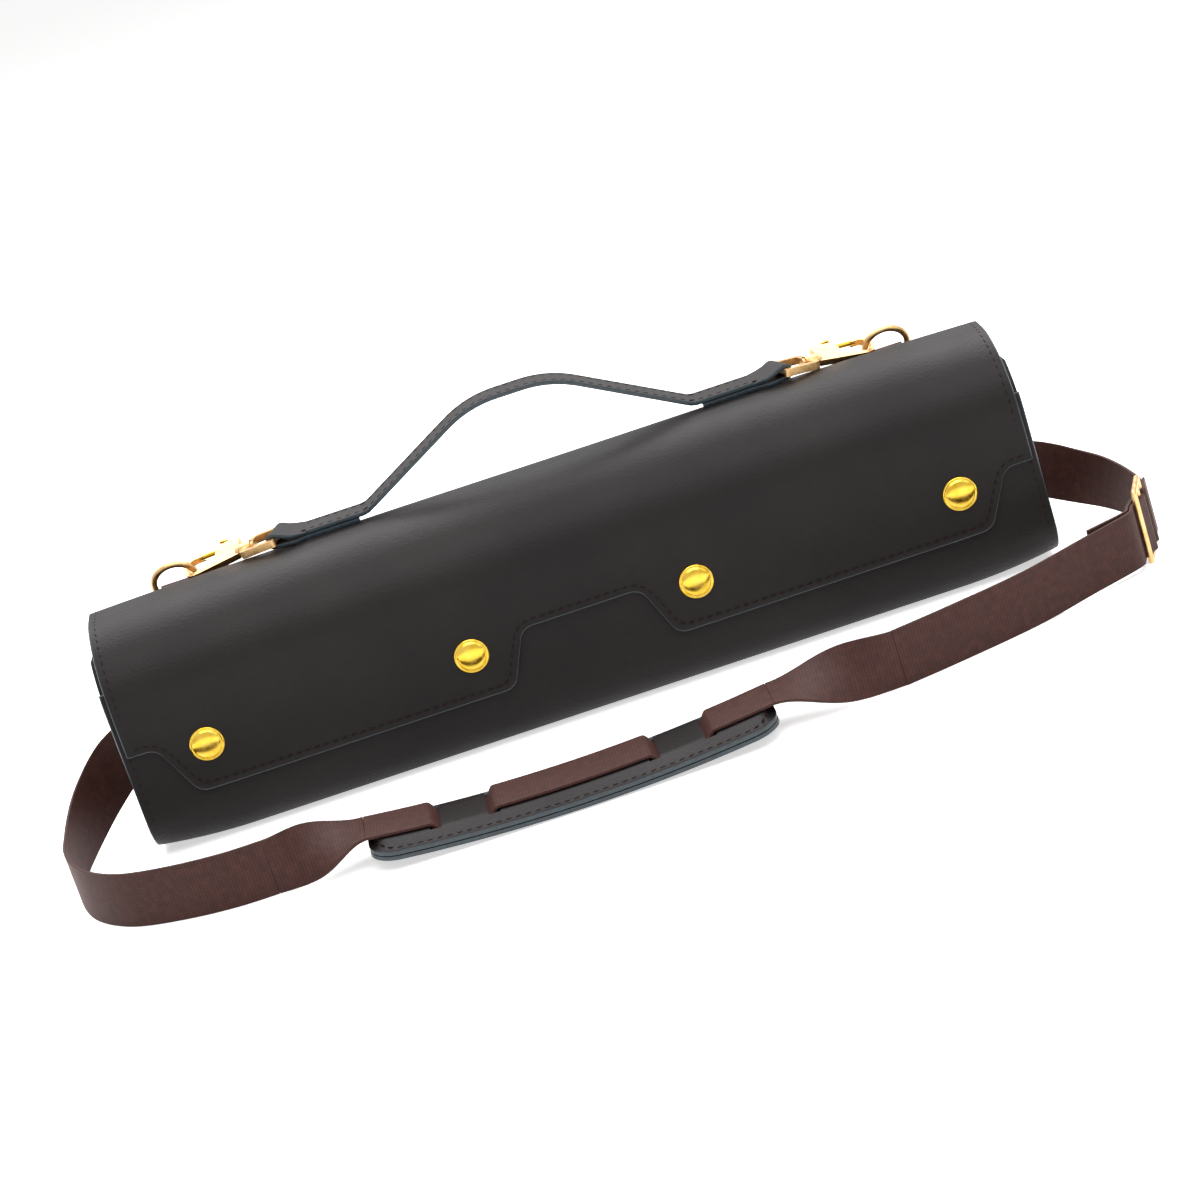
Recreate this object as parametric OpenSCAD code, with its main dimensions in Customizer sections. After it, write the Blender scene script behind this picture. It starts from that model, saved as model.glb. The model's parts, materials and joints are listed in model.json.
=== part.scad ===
// Soft flute case: a leather tray with a wrap-over flap, press-studs, a hooked-on
// carrying handle and a webbing shoulder strap with a sliding pad.
// Millimetres. X runs along the case, the front faces -Y, Z is up.
// The origin is the centre of the base, on the surface that the case stands on.

/* [Case] */
// Length over the end seams
case_l = 420; // [340:5:520]
// Depth from the flap's front to the back
case_d = 66; // [56:1:90]
// Height to the top of the flap
case_h = 108; // [96:1:140]
// Thickness of the leather
leather = 2.2; // [1.6:0.1:3]
// Radius of the two rounded bottom edges
bottom_r = 18; // [12:1:22]
// How far below the top the end panels' flanges stop
flange_drop = 10; // [8:1:16]
// How far each end panel is set back from the end seam
gusset_recess = 8; // [5:0.5:14]
// Thickness of the stiffening board
board = 1.6; // [1:0.1:2.5]
// Thickness of the lining cloth
lining_t = 0.8; // [0.5:0.1:1.5]

/* [Flap] */
// How far the flap's ends stop short of the end seams
flap_short = 2.5; // [1:0.5:6]
// Rounded front top edge of the flap
flap_front_r = 35; // [26:1:42]
// Rounded back top edge of the flap
flap_back_r = 20; // [12:1:24]
// How far the fold line lies below the top
fold_drop = 22; // [16:1:30]
// Height of the flap's lower edge above the base
flap_edge_z = 27; // [22:1:36]
// Height of the centre notch
notch_h = 25; // [12:1:34]
// Width of the centre notch at the flap's edge
notch_w = 75; // [50:1:100]
// Width of the centre notch at its top
notch_top_w = 54; // [36:1:80]
// Length of the raised part of the edge at each end
step_l = 13; // [8:1:24]
// Length of the slope between the raised part and the edge
step_slope = 12; // [6:1:20]
// Radius of the rounded corners along the edge
edge_r = 7; // [3:0.5:9]
// Air between the closed flap and what is under it
flap_gap = 0.3; // [0.2:0.05:0.8]

/* [Press-studs] */
// Diameter of a cap
cap_d = 15; // [12:0.5:16]
// Height of the cap's dome
cap_h = 2.6; // [1.5:0.1:4]
// Height of the caps above the flap's edge
cap_rise = 21; // [14:1:28]
// Distance of the inner pair from the middle
cap_inner_x = 51.5; // [42:0.5:70]
// Distance of the outer pair from the middle
cap_outer_x = 172.5; // [110:0.5:180]
// Diameter of the socket under a cap
socket_d = 12; // [9:0.5:12]
// Diameter of the stud's knob
knob_d = 6; // [4:0.5:7]
// Diameter of the stud's base and of its backing plate
stud_base_d = 10; // [8:0.5:12]

/* [Rings] */
// Diameter of the ring's wire
ring_wire = 3; // [2.4:0.1:3.4]
// Inside width of a ring
ring_inner = 17; // [14:0.5:20]
// Straight part of a ring's sides
ring_straight = 4; // [3:0.5:6]
// Distance of each ring from the middle of the case
ring_x = 168; // [160:1:176]
// How far the ring's bar lies below the top
ring_drop = 9; // [8:0.5:12]
// How far the rings lean forwards over the top
ring_lean = 25; // [15:1:30]
// Width of the tab that holds a ring
tab_w = 15; // [10:0.5:16]
// Thickness of the tab
tab_t = 1.5; // [1:0.1:2]

/* [Handle] */
// Width of the handle strap
handle_w = 15; // [12:0.5:18]
// Thickness of the handle strap
handle_t = 2; // [1.8:0.1:3]
// Distance of the handle's middle line in front of the case's back
handle_back = 14; // [12:0.5:18]
// Half the distance between the feet of the arch
foot_x = 76; // [60:1:90]
// Height of the arch over the top of the case
arch_h = 36; // [26:1:50]
// Half the length of the rounded crown
crown_x = 19; // [17:1:30]
// Radius of the crown's two shoulders
crown_r = 60; // [30:5:60]
// Distance of the eye bars from the middle
eye_x = 117; // [106:1:122]

/* [Hooks] */
// Wire of the eye that the handle is looped round
eye_wire = 3; // [2.4:0.1:3.4]
// Inside width of the eye
eye_inner = 16; // [15.5:0.5:19]
// Thickness of the hook's claw
claw_t = 3.4; // [3:0.1:4.2]
// Radius of the opening at the hook's tip
claw_hole_r = 3.9; // [3.6:0.1:4.4]
// Metal round the opening
claw_rim = 1.8; // [1.6:0.1:2.8]
// Travel of the thumb trigger
trigger_travel = 6; // [4:0.5:7]
// Diameter of the trigger's bolt
bolt_d = 2.4; // [2:0.1:2.6]

/* [Shoulder strap] */
// Width of the webbing
web_w = 25; // [20:1:30]
// Thickness of the webbing
web_t = 1.5; // [1.2:0.1:2]
// Length of the webbing folded back at the slide
tail_l = 34; // [20:1:50]
// Wire of the slide
slide_wire = 2.6; // [2:0.1:3]
// Free width on each side of the slide's middle bar
slide_gap = 7; // [6:0.5:9]
// Side of the patches over the webbing's sewn ends
patch_l = 32; // [26:1:40]
// How far the left turn stands out from the case's end
left_turn = 36; // [28:1:44]
// How far the slide stands out from the case's other end
slide_out = 33.5; // [30:0.5:40]
// How far in front of the flap the strap runs to the pad
strap_front = 73; // [66:1:82]
// Distance of each sewn end from the end seam
sewn_in = 45; // [38:1:52]
// Length of the stretch that turns from upright to flat
lead_l = 42; // [34:1:50]

/* [Shoulder pad] */
// Length of the pad
pad_l = 178; // [160:1:220]
// Width of the pad
pad_w = 40; // [36:1:50]
// Thickness of each of the pad's leathers
pad_leather = 1.8; // [1.2:0.1:2]
// Thickness of the foam between them
pad_foam = 4.6; // [4:0.1:9]
// Distance of the pad's left end from the middle of the case
pad_left_x = 115; // [106:1:130]
// Distance of the pad's middle line in front of the case
pad_front = 73.5; // [68:0.5:90]
// Distance of the outer slots from the pad's ends
slot_outer = 29; // [24:1:36]
// Distance of the inner slots from the pad's ends
slot_inner = 54; // [50:1:70]
// How far the tape draws the pad's ends up
pad_rise = 5.5; // [0:0.5:8]
// How far behind the pad's middle line the webbing lies
web_behind = 1.5; // [0:0.5:4]
// Play of the webbing in the pad
web_play = 0.3; // [0.2:0.05:0.6]

/* [Hidden] */
$fn = 64;

LEATHER = "#2E2928";
EDGE = "#22303A";
BOARD = "#8A7B66";
CLOTH = "#3A3433";
WEBBING = "#5A3734";
GOLD = "#DDB544";
PALE_GOLD = "#E3B878";
STEEL = "#B9B4A6";

eps = 0.01;
run_fit = 0.15;
half_l = case_l / 2;
half_d = case_d / 2;
handle_y = half_d - handle_back;
// Front faces, from the outside inwards
flap_front_y = -half_d;
shell_front_y = flap_front_y + leather + flap_gap;
flap_half_l = half_l - flap_short;
gusset_x = half_l - gusset_recess;
end_wall_x = gusset_x - leather;
fold_z = case_h - fold_drop;
cap_z = flap_edge_z + cap_rise;
cap_xs = [-cap_outer_x, -cap_inner_x, cap_inner_x, cap_outer_x];
notch_top_z = flap_edge_z + notch_h;

// ---- helpers -------------------------------------------------------------

function unit(v) = v / norm(v);

// Points of an arc that rounds the corner at b between a and c
function corner_arc(a, b, c, r, n = 6) =
    let (u = unit(a - b), w = unit(c - b))
    let (half = acos(max(-1, min(1, u * w))) / 2)
    let (middle = b + unit(u + w) * r / sin(half))
    let (s = b + u * r / tan(half) - middle, e = b + w * r / tan(half) - middle)
    let (a0 = atan2(s[1], s[0]), turn = atan2(e[1], e[0]) - a0)
    let (sweep = turn > 180 ? turn - 360 : turn < -180 ? turn + 360 : turn)
    [for (i = [0 : n]) middle + r * [cos(a0 + sweep * i / n), sin(a0 + sweep * i / n)]];

// An open path whose inner corners are rounded by the radii in rs
function rounded_path(p, rs) = concat(
    [p[0]],
    [for (i = [1 : len(p) - 2]) each corner_arc(p[i - 1], p[i], p[i + 1], rs[i - 1])],
    [p[len(p) - 1]]);

// Unit normal of a path at point i
function path_normal(p, i) =
    let (a = p[max(0, i - 1)], b = p[min(len(p) - 1, i + 1)])
    let (t = unit(b - a))
    [-t[1], t[0]];

// A band of thickness t along a flat path
module band(path, t) {
    near = [for (i = [0 : len(path) - 1]) path[i] + path_normal(path, i) * t / 2];
    far = [for (i = [len(path) - 1 : -1 : 0]) path[i] - path_normal(path, i) * t / 2];
    polygon(concat(near, far));
}

// A smooth curve through the stations, with n steps between two of them
function spline_at(a, b, c, d, t) = 0.5 * (2 * b + (c - a) * t
    + (2 * a - 5 * b + 4 * c - d) * t * t + (3 * b - a - 3 * c + d) * t * t * t);
function smooth(p, n) = let (m = len(p) - 1) concat(
    [for (i = [0 : m - 1], k = [0 : n - 1])
        spline_at(p[max(0, i - 1)], p[i], p[i + 1], p[min(m, i + 2)], k / n)],
    [p[m]]);

// Webbing along middle points, with the width's direction at each of them. Its two faces
// are split along the same diagonals, so that a twist keeps the thickness.
module ribbon(middle, across, w, t) {
    m = len(middle);
    ring = [for (i = [0 : m - 1])
        let (along = unit(middle[min(m - 1, i + 1)] - middle[max(0, i - 1)]))
        let (wide = unit(across[i] - along * (across[i] * along)))
        let (thick = cross(along, wide))
        each [for (k = [[-1, -1], [1, -1], [1, 1], [-1, 1]])
            middle[i] + wide * k[0] * w / 2 + thick * k[1] * t / 2]];
    sides = [for (i = [0 : m - 2], k = [0 : 3])
        let (a = 4 * i + k, b = 4 * i + (k + 1) % 4)
        each k < 2 ? [[a, a + 4, b + 4], [a, b + 4, b]] : [[a, a + 4, b], [a + 4, b + 4, b]]];
    last = 4 * (m - 1);
    polyhedron(ring, concat([[0, 1, 2], [0, 2, 3]], sides,
        [[last, last + 2, last + 1], [last, last + 3, last + 2]]));
}

// Turns a profile drawn in (Y, Z) into a bar along X
module along_x(x0, x1) {
    translate([x0, 0, 0]) rotate([90, 0, 90]) linear_extrude(x1 - x0) children();
}

// A rectangle whose corners are rounded: front bottom, back bottom, back top, front top
module rounded_box_2d(y0, y1, z0, z1, rs) {
    corners = [[y0, z0, 1, 1], [y1, z0, -1, 1], [y1, z1, -1, -1], [y0, z1, 1, -1]];
    difference() {
        translate([y0, z0]) square([y1 - y0, z1 - z0]);
        for (i = [0 : 3]) if (rs[i] > 0) {
            c = corners[i];
            translate([c[0], c[1]]) mirror([c[2] < 0 ? 1 : 0, 0])
                mirror([0, c[3] < 0 ? 1 : 0]) difference() {
                    translate([-1, -1]) square([rs[i] + 1, rs[i] + 1]);
                    translate([rs[i], rs[i]]) circle(rs[i]);
                }
        }
    }
}

// Section of the tray, set in by a distance from its outer skin. Its front leans in
// at the top as the closed flap does.
module tray_2d(inset, top) {
    r = bottom_r - inset;
    intersection() {
        rounded_box_2d(shell_front_y + inset, half_d - inset, inset, case_h, [r, r, 0, 0]);
        translate([-case_d, -1]) square([2 * case_d, top + 1]);
        union() {
            hood_2d(leather + flap_gap + inset);
            translate([0, -1]) square([case_d, case_h]);
        }
    }
}

// Section of the space under the flap, set in from the flap's outer skin
module hood_2d(inset) {
    rounded_box_2d(flap_front_y + inset, half_d - inset, -1, case_h - inset,
        [0, 0, flap_back_r - inset, flap_front_r - inset]);
}

// The part of the hood's section that belongs to the flap
module flap_part_2d() {
    difference() {
        children();
        translate([0, -2]) square([case_d, fold_z + 2]);
    }
}

// ---- case ----------------------------------------------------------------

module stud_places() {
    for (x = cap_xs) translate([x, shell_front_y, cap_z]) rotate([-90, 0, 0]) children();
}

module body_shell() {
    color(LEATHER) difference() {
        along_x(-half_l, half_l) difference() {
            tray_2d(0, fold_z);
            tray_2d(leather, fold_z + 1);
        }
        stud_places() translate([0, 0, -1]) cylinder(d = stud_base_d, h = leather + 2);
    }
}

// Recessed end panel with a flange sewn inside the end of the shell
module gusset(side) {
    x0 = side > 0 ? end_wall_x : -gusset_x;
    x1 = x0 + leather;
    rim0 = side > 0 ? x0 : -half_l;
    rim1 = side > 0 ? half_l : x1;
    color(LEATHER) {
        along_x(x0, x1) intersection() {
            tray_2d(leather, case_h);
            hood_2d(leather + 1);
        }
        along_x(rim0, rim1) difference() {
            intersection() {
                tray_2d(leather, case_h - flange_drop);
                hood_2d(leather + 1);
            }
            intersection() {
                tray_2d(2 * leather, case_h);
                hood_2d(2 * leather + 1);
            }
        }
    }
}

module front_board() {
    y0 = shell_front_y + leather;
    z0 = bottom_r;
    color(BOARD) difference() {
        translate([-end_wall_x, y0, z0])
            cube([2 * end_wall_x, board, case_h - flap_front_r - z0]);
        stud_places() cylinder(d = stud_base_d + 0.4, h = 20);
    }
}

module bottom_board() {
    y0 = shell_front_y + bottom_r;
    color(BOARD) translate([-end_wall_x, y0, leather])
        cube([2 * end_wall_x, half_d - bottom_r - y0, board]);
}

module back_board() {
    color(BOARD) translate([-end_wall_x, half_d - leather - board, bottom_r])
        cube([2 * end_wall_x, board, fold_z - 4 - bottom_r]);
}

module lining() {
    inset = leather + board;
    inner = end_wall_x - lining_t;
    color(CLOTH) along_x(-inner, inner) difference() {
        tray_2d(inset, fold_z - 1);
        tray_2d(inset + lining_t, fold_z);
    }
}

module end_lining(side) {
    x0 = side > 0 ? end_wall_x - lining_t : -end_wall_x;
    color(CLOTH) along_x(x0, x0 + lining_t) tray_2d(leather + board, fold_z - 1);
}

// Stud: a base sunk in the front and a knob that enters the socket
module snap_studs() {
    knob_h = leather * 0.75;
    color(STEEL) stud_places() {
        cylinder(d = stud_base_d, h = leather);
        translate([0, 0, -knob_h]) cylinder(d = knob_d, h = knob_h + eps);
    }
}

// Backing plate of each stud, behind the front
module snap_posts() {
    color(STEEL) stud_places() translate([0, 0, leather])
        cylinder(d = stud_base_d, h = board);
}

// ---- flap ----------------------------------------------------------------

// Lower edge of the flap as seen from the front
function flap_edge() =
    let (e = flap_half_l, s = e - step_l, t = s - step_slope)
    rounded_path([
        [-e - 5, notch_top_z], [-s, notch_top_z], [-t, flap_edge_z],
        [-notch_w / 2, flap_edge_z], [-notch_top_w / 2, notch_top_z],
        [notch_top_w / 2, notch_top_z], [notch_w / 2, flap_edge_z],
        [t, flap_edge_z], [s, notch_top_z], [e + 5, notch_top_z]],
        [for (i = [0 : 7]) edge_r]);

// What the flap's outline takes away from its front
module below_flap_edge(drop) {
    below = concat([[-half_l, -5]], [for (p = flap_edge()) p + [0, drop]], [[half_l, -5]]);
    rotate([90, 0, 0]) linear_extrude(case_d) polygon(below);
}

module cap_places() {
    for (x = cap_xs) translate([x, flap_front_y, cap_z]) rotate([90, 0, 0]) children();
}

module flap() {
    color(LEATHER) difference() {
        along_x(-flap_half_l, flap_half_l) flap_part_2d()
            difference() {
                hood_2d(0);
                hood_2d(leather);
            }
        below_flap_edge(0);
        cap_places() translate([0, 0, -leather - 1]) cylinder(d = socket_d, h = leather + 2);
    }
}

// Stiffener under the top, between the two rounded edges
module flap_board() {
    y0 = flap_front_y + flap_front_r;
    y1 = half_d - flap_back_r;
    color(BOARD) translate([-end_wall_x + 2, y0, case_h - leather - board])
        cube([2 * end_wall_x - 4, y1 - y0, board]);
}

// Lining of the flap's top and back, under the stiffener
module flap_lining() {
    half = end_wall_x - 2;
    inset = leather + board;
    color(CLOTH) along_x(-half, half) difference() {
        intersection() {
            hood_2d(inset);
            translate([flap_front_y + flap_front_r / 2, fold_z + 3])
                square([case_d, case_h]);
        }
        hood_2d(inset + lining_t);
    }
}

// Domed cap with a stepped rim, on the outside of the flap
module snap_caps() {
    dome_r = (cap_d * cap_d / 4 + cap_h * cap_h) / (2 * cap_h);
    color(GOLD) cap_places() {
        intersection() {
            translate([0, 0, cap_h - dome_r]) sphere(dome_r, $fn = 96);
            cylinder(d = cap_d, h = cap_h + 1);
        }
        cylinder(d = cap_d + 0.6, h = 0.8);
    }
}

module snap_sockets() {
    color(STEEL) cap_places() translate([0, 0, -leather]) difference() {
        cylinder(d = socket_d, h = leather);
        translate([0, 0, -1]) cylinder(d = knob_d + 0.8, h = leather - 0.5 + 1);
    }
}

// ---- rings ---------------------------------------------------------------

ring_bar_y = half_d + tab_t + ring_wire / 2 + run_fit;
ring_bar_z = case_h - ring_drop;
ring_half = (ring_inner + ring_wire) / 2;
tab_eye_r = ring_wire / 2 + run_fit;

// Webbing tab on the back of the flap, looped round the ring's bar
module ring_tab(side) {
    color(WEBBING) translate([side * ring_x - tab_w / 2, 0, 0]) rotate([90, 0, 90])
        linear_extrude(tab_w) difference() {
            union() {
                translate([half_d, fold_z + 0.5])
                    square([tab_t, ring_bar_z - fold_z - 0.5]);
                translate([half_d + tab_t, fold_z + 2])
                    square([tab_t, ring_bar_z - fold_z - 2]);
                translate([ring_bar_y, ring_bar_z]) circle(tab_eye_r + tab_t);
            }
            translate([ring_bar_y, ring_bar_z]) circle(tab_eye_r);
        }
}

// One rivet through each tab into the flap's back
module tab_rivets() {
    z = (fold_z + 2 + ring_bar_z - tab_eye_r - tab_t) / 2;
    color(GOLD) for (side = [-1, 1])
        translate([side * ring_x, half_d + 2 * tab_t, z]) rotate([-90, 0, 0])
            cylinder(d = 5, h = 1);
}

// D-ring: straight bar at the tab, rounded bow towards the handle
module d_ring() {
    r = ring_wire / 2;
    rotate([0, 90, 0]) translate([0, 0, -ring_half]) cylinder(r = r, h = 2 * ring_half);
    for (s = [-1, 1]) translate([s * ring_half, 0, 0]) {
        sphere(r);
        cylinder(r = r, h = ring_straight);
    }
    translate([0, 0, ring_straight]) rotate([90, 0, 0])
        rotate_extrude(angle = 180) translate([ring_half, 0]) circle(r);
}

module ring(side) {
    color(PALE_GOLD) translate([side * ring_x, ring_bar_y, ring_bar_z])
        rotate([ring_lean, 0, 0]) d_ring();
}

// ---- handle --------------------------------------------------------------

bow_angle = 20;
eye_bar_z = case_h + flap_gap + handle_t + eye_wire / 2 + 2 * run_fit;
loop_r = eye_wire / 2 + run_fit + handle_t / 2;
// Place on the right ring where its hook pulls, and the pull's direction there
bow_along = ring_straight + ring_half * sin(bow_angle);
pull_point = [ring_x - ring_half * cos(bow_angle),
    ring_bar_y - bow_along * sin(ring_lean), ring_bar_z + bow_along * cos(ring_lean)];
eye_point = [eye_x, handle_y, eye_bar_z];
pull = unit(pull_point - eye_point);
pull_yaw = atan2(pull[1], pull[0]);
wire_tangent = [sin(bow_angle), -cos(bow_angle) * sin(ring_lean),
    cos(bow_angle) * cos(ring_lean)];
// The claw lies across the wire, with its trigger on the side away from the case
claw_normal = -unit(wire_tangent - pull * (wire_tangent * pull));
claw_side = cross(claw_normal, pull);
eye_side = unit([-pull[1], pull[0], 0]);
eye_normal = cross(pull, eye_side);

// Moves a piece drawn along +X to a point, with its axes along x, y and z
module in_frame(x, y, z, p) {
    multmatrix([[x[0], y[0], z[0], p[0]], [x[1], y[1], z[1], p[1]],
        [x[2], y[2], z[2], p[2]], [0, 0, 0, 1]]) children();
}

// Draws a right-hand piece on the chosen side
module on_side(side) {
    mirror([side < 0 ? 1 : 0, 0, 0]) children();
}

// Half of the handle's section, from the crown down to the flat end
function handle_half() =
    let (low = case_h + flap_gap + handle_t * 1.5 + run_fit)
    let (crown_z = case_h + arch_h - handle_t / 2)
    rounded_path([[-0.5, crown_z], [crown_x, crown_z], [foot_x, low], [eye_x - 8, low]],
        [crown_r, 8]);

// The loop round the eye's bar, as a section with its open side towards the middle
module end_loop_2d() {
    tail = 10;
    difference() {
        union() {
            circle(loop_r + handle_t / 2);
            translate([-tail, -loop_r - handle_t / 2]) square([tail, handle_t]);
            translate([-tail, -loop_r + handle_t / 2 - eps])
                square([tail, handle_t + run_fit + eps]);
        }
        circle(loop_r - handle_t / 2);
    }
}

// One strap: an arch with flat ends, each looped round an eye and folded back under
module handle_strap() {
    tail_z = case_h + flap_gap;
    color(LEATHER) for (side = [-1, 1]) on_side(side) {
        translate([0, handle_y + handle_w / 2, 0]) rotate([90, 0, 0])
            linear_extrude(handle_w) {
                band(handle_half(), handle_t);
                translate([foot_x, tail_z]) square([eye_x - 8 - foot_x, handle_t]);
                translate([foot_x + 3, tail_z + handle_t - eps])
                    square([eye_x - 11 - foot_x, run_fit + 2 * eps]);
            }
        translate(eye_point) rotate([90, 0, pull_yaw])
            translate([0, 0, -handle_w / 2]) linear_extrude(handle_w) end_loop_2d();
    }
}

// ---- hooks ---------------------------------------------------------------

eye_half = (eye_inner + eye_wire) / 2;
eye_corner = 3;
frame_t = eye_wire + 0.4;
boss_l = 4;
boss_r = 3;
pin_r = 1.2;
head_t = 1.2;
claw_centre = 26;
wire_place = claw_centre + claw_hole_r - ring_wire / 2 - 1;
boss_x = norm(pull_point - eye_point) - wire_place;
eye_end = boss_x - boss_l / 2;
claw_r = claw_hole_r + claw_rim;
block_x0 = boss_l / 2 + 1;
block_x1 = 15;
bolt_y = -claw_hole_r - bolt_d / 2 + 0.2;
block_low = bolt_y - bolt_d / 2 - 1;
mouth_x1 = 23;
slot_y = 1.4;
knob_r = 2.2;
// Direction, from the claw's centre, in which the straight spine meets its rim
spine_turn = atan2(boss_r, block_x0 - claw_centre)
    - acos(claw_r / norm([block_x0 - claw_centre, boss_r]));

// Outline of the eye's cast frame, open towards the handle
module eye_frame_2d() {
    r = eye_wire / 2;
    far = eye_end + r - eye_corner;
    half = eye_half + r;
    difference() {
        union() {
            translate([0, -half]) square([far, 2 * half]);
            translate([0, eye_corner - half]) square([far + eye_corner, 2 * (half - eye_corner)]);
            for (s = [-1, 1]) {
                translate([0, s * eye_half]) circle(r);
                translate([far, s * (half - eye_corner)]) circle(eye_corner);
            }
        }
        translate([-eye_wire, -eye_inner / 2]) square([eye_wire + eye_end - r, eye_inner]);
    }
}

// Eye: a flat frame, a round bar in the handle's loop and a boss for the hook's pin
module hook_eye_body() {
    difference() {
        union() {
            translate([0, 0, -frame_t / 2]) linear_extrude(frame_t) eye_frame_2d();
            translate([0, eye_half, 0]) rotate([90, 0, 0])
                cylinder(d = eye_wire, h = 2 * eye_half);
            translate([eye_end - eye_wire / 2, 0, 0]) rotate([0, 90, 0])
                cylinder(r = boss_r, h = boss_l + eye_wire / 2);
        }
        translate([eye_end - eye_wire, 0, 0]) rotate([0, 90, 0])
            cylinder(r = pin_r + run_fit / 2, h = 2 * boss_l + eye_wire);
    }
}

module hook_eye(side) {
    color(PALE_GOLD) on_side(side) in_frame(pull, eye_side, eye_normal, eye_point)
        hook_eye_body();
}

// Side view of the hook: a block, a spine that widens from the neck, and the claw
module hook_outline_2d() {
    claw_mid = [claw_centre, 0];
    difference() {
        union() {
            polygon([[block_x0, block_low], [block_x1, block_low], [block_x1, 0], claw_mid,
                claw_mid + claw_r * [cos(spine_turn), sin(spine_turn)],
                [block_x0, boss_r]]);
            translate(claw_mid) circle(claw_r);
            translate([mouth_x1, -claw_r]) square([claw_centre - mouth_x1, claw_r]);
        }
        translate(claw_mid) circle(claw_hole_r);
        polygon([[block_x1, -claw_hole_r], [claw_centre, -claw_hole_r],
            [claw_centre, claw_hole_r], [block_x1, slot_y]]);
    }
}

// Hook: riveted pin, block with the bolt's bore, and a claw round the ring
module hook_body() {
    pin_back = -boss_l / 2 - eye_wire / 2 - run_fit;
    rotate([0, 90, 0]) translate([0, 0, pin_back - head_t])
        cylinder(r = pin_r * 1.8, h = head_t);
    rotate([0, 90, 0]) translate([0, 0, pin_back - eps])
        cylinder(r = pin_r, h = block_x0 - pin_back + 1);
    difference() {
        union() {
            translate([boss_l / 2 + run_fit, 0, 0]) rotate([0, 90, 0])
                cylinder(r = boss_r, h = block_x0 - boss_l / 2 + 1);
            translate([0, 0, -claw_t / 2]) linear_extrude(claw_t) hook_outline_2d();
        }
        translate([block_x0 + 1, bolt_y, 0]) rotate([0, 90, 0])
            cylinder(d = bolt_d + 0.2, h = mouth_x1 + 1.5 - block_x0 - 1);
        translate([block_x0 + 1, block_low - 1, -0.9])
            cube([block_x1 - block_x0 - 3, bolt_y - block_low + 1, 1.8]);
    }
}

module hook(side) {
    color(PALE_GOLD) on_side(side)
        in_frame(pull, claw_side, claw_normal, eye_point + pull * boss_x) hook_body();
}

// Trigger: a bolt across the claw's mouth, with a thumb knob
module trigger_body() {
    tip = mouth_x1 + 1;
    knob = block_x0 + 1.3 + trigger_travel;
    translate([knob, bolt_y, 0]) rotate([0, 90, 0]) cylinder(d = bolt_d, h = tip - knob);
    translate([knob, block_low - 1, -0.7]) cube([2.6, bolt_y - block_low + 1, 1.4]);
    translate([knob + 1.3, block_low - 0.8, 0]) rotate([90, 0, 0]) {
        cylinder(r = knob_r, h = 1.2);
        translate([0, 0, 1.2]) cylinder(r1 = knob_r, r2 = knob_r - 0.8, h = 0.7);
    }
}

module trigger(side) {
    color(GOLD) on_side(side)
        in_frame(pull, claw_side, claw_normal, eye_point + pull * boss_x) trigger_body();
}

// ---- shoulder strap ------------------------------------------------------

web_lift = 0.2;
web_z = web_w / 2 + web_lift;
// Air between the ends of two stretches that meet
web_gap = 0.8;
web_seat = 0.03;
web_back_y = half_d + web_seat + web_t / 2;
patch_y = web_back_y + web_t / 2;
pad_y = flap_front_y - pad_front;
web_y = pad_y + web_behind;
pad_x0 = -pad_left_x;
pad_x1 = pad_x0 + pad_l;
pad_t = 2 * pad_leather + pad_foam;
web_top_z = pad_t + web_play + web_t / 2;
web_low_z = pad_t - pad_leather - web_play - web_t / 2;
left_run_x = pad_x0 - lead_l;
right_run_x = pad_x1 + lead_l * 4 / 3;
run_y = flap_front_y - strap_front;
// The slide stands at the right, clear of the case's end
slide_at = [half_l + slide_out, run_y / 2];
slide_dir = unit([0.35, 1]);
side_dir = [slide_dir[1], -slide_dir[0]];
slide_pitch = slide_gap + slide_wire;
// Webbing in the slide stands on its lower bar, a little above the table
slide_web_z = slide_wire + web_lift + web_w / 2;
turn_r = slide_wire / 2 + run_fit + web_t / 2;
patch_left_z = fold_z - sewn_in * 0.42;
patch_right_z = fold_z - sewn_in * 0.58;

// Left run: sewn to the back, round the left end and along the front
module strap_left() {
    e = half_l;
    o = left_turn;
    slope = [-0.64, 0, 0.77];
    stations = [
        [-e + sewn_in, web_back_y, fold_z - sewn_in * 0.36],
        [-e + sewn_in / 2, web_back_y, fold_z - sewn_in * 0.72],
        [-e + o * 0.05, web_back_y, web_z * 3],
        [-e - o * 0.3, web_back_y, web_z * 2.4],
        [-e - o * 0.64, half_d * 0.72, web_z * 1.7],
        [-e - o * 0.88, half_d * 0.15, web_z * 1.2], [-e - o, run_y * 0.21, web_z],
        [-e - o * 0.97, run_y * 0.45, web_z], [-e - o * 0.75, run_y * 0.68, web_z],
        [-e - o * 0.3, run_y * 0.86, web_z], [-e + o / 3, run_y * 0.96, web_z],
        [left_run_x - lead_l * 0.43, run_y - web_t * 0.7, web_z],
        [left_run_x, run_y - web_t, web_z]];
    up = [0, 0, 1];
    across = [slope, slope, slope, slope, [-0.42, -0.1, 0.9], [-0.18, 0, 1],
        up, up, up, up, up, up, up];
    color(WEBBING) ribbon(smooth(stations, 4), smooth(across, 4), web_w, web_t);
}

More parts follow.
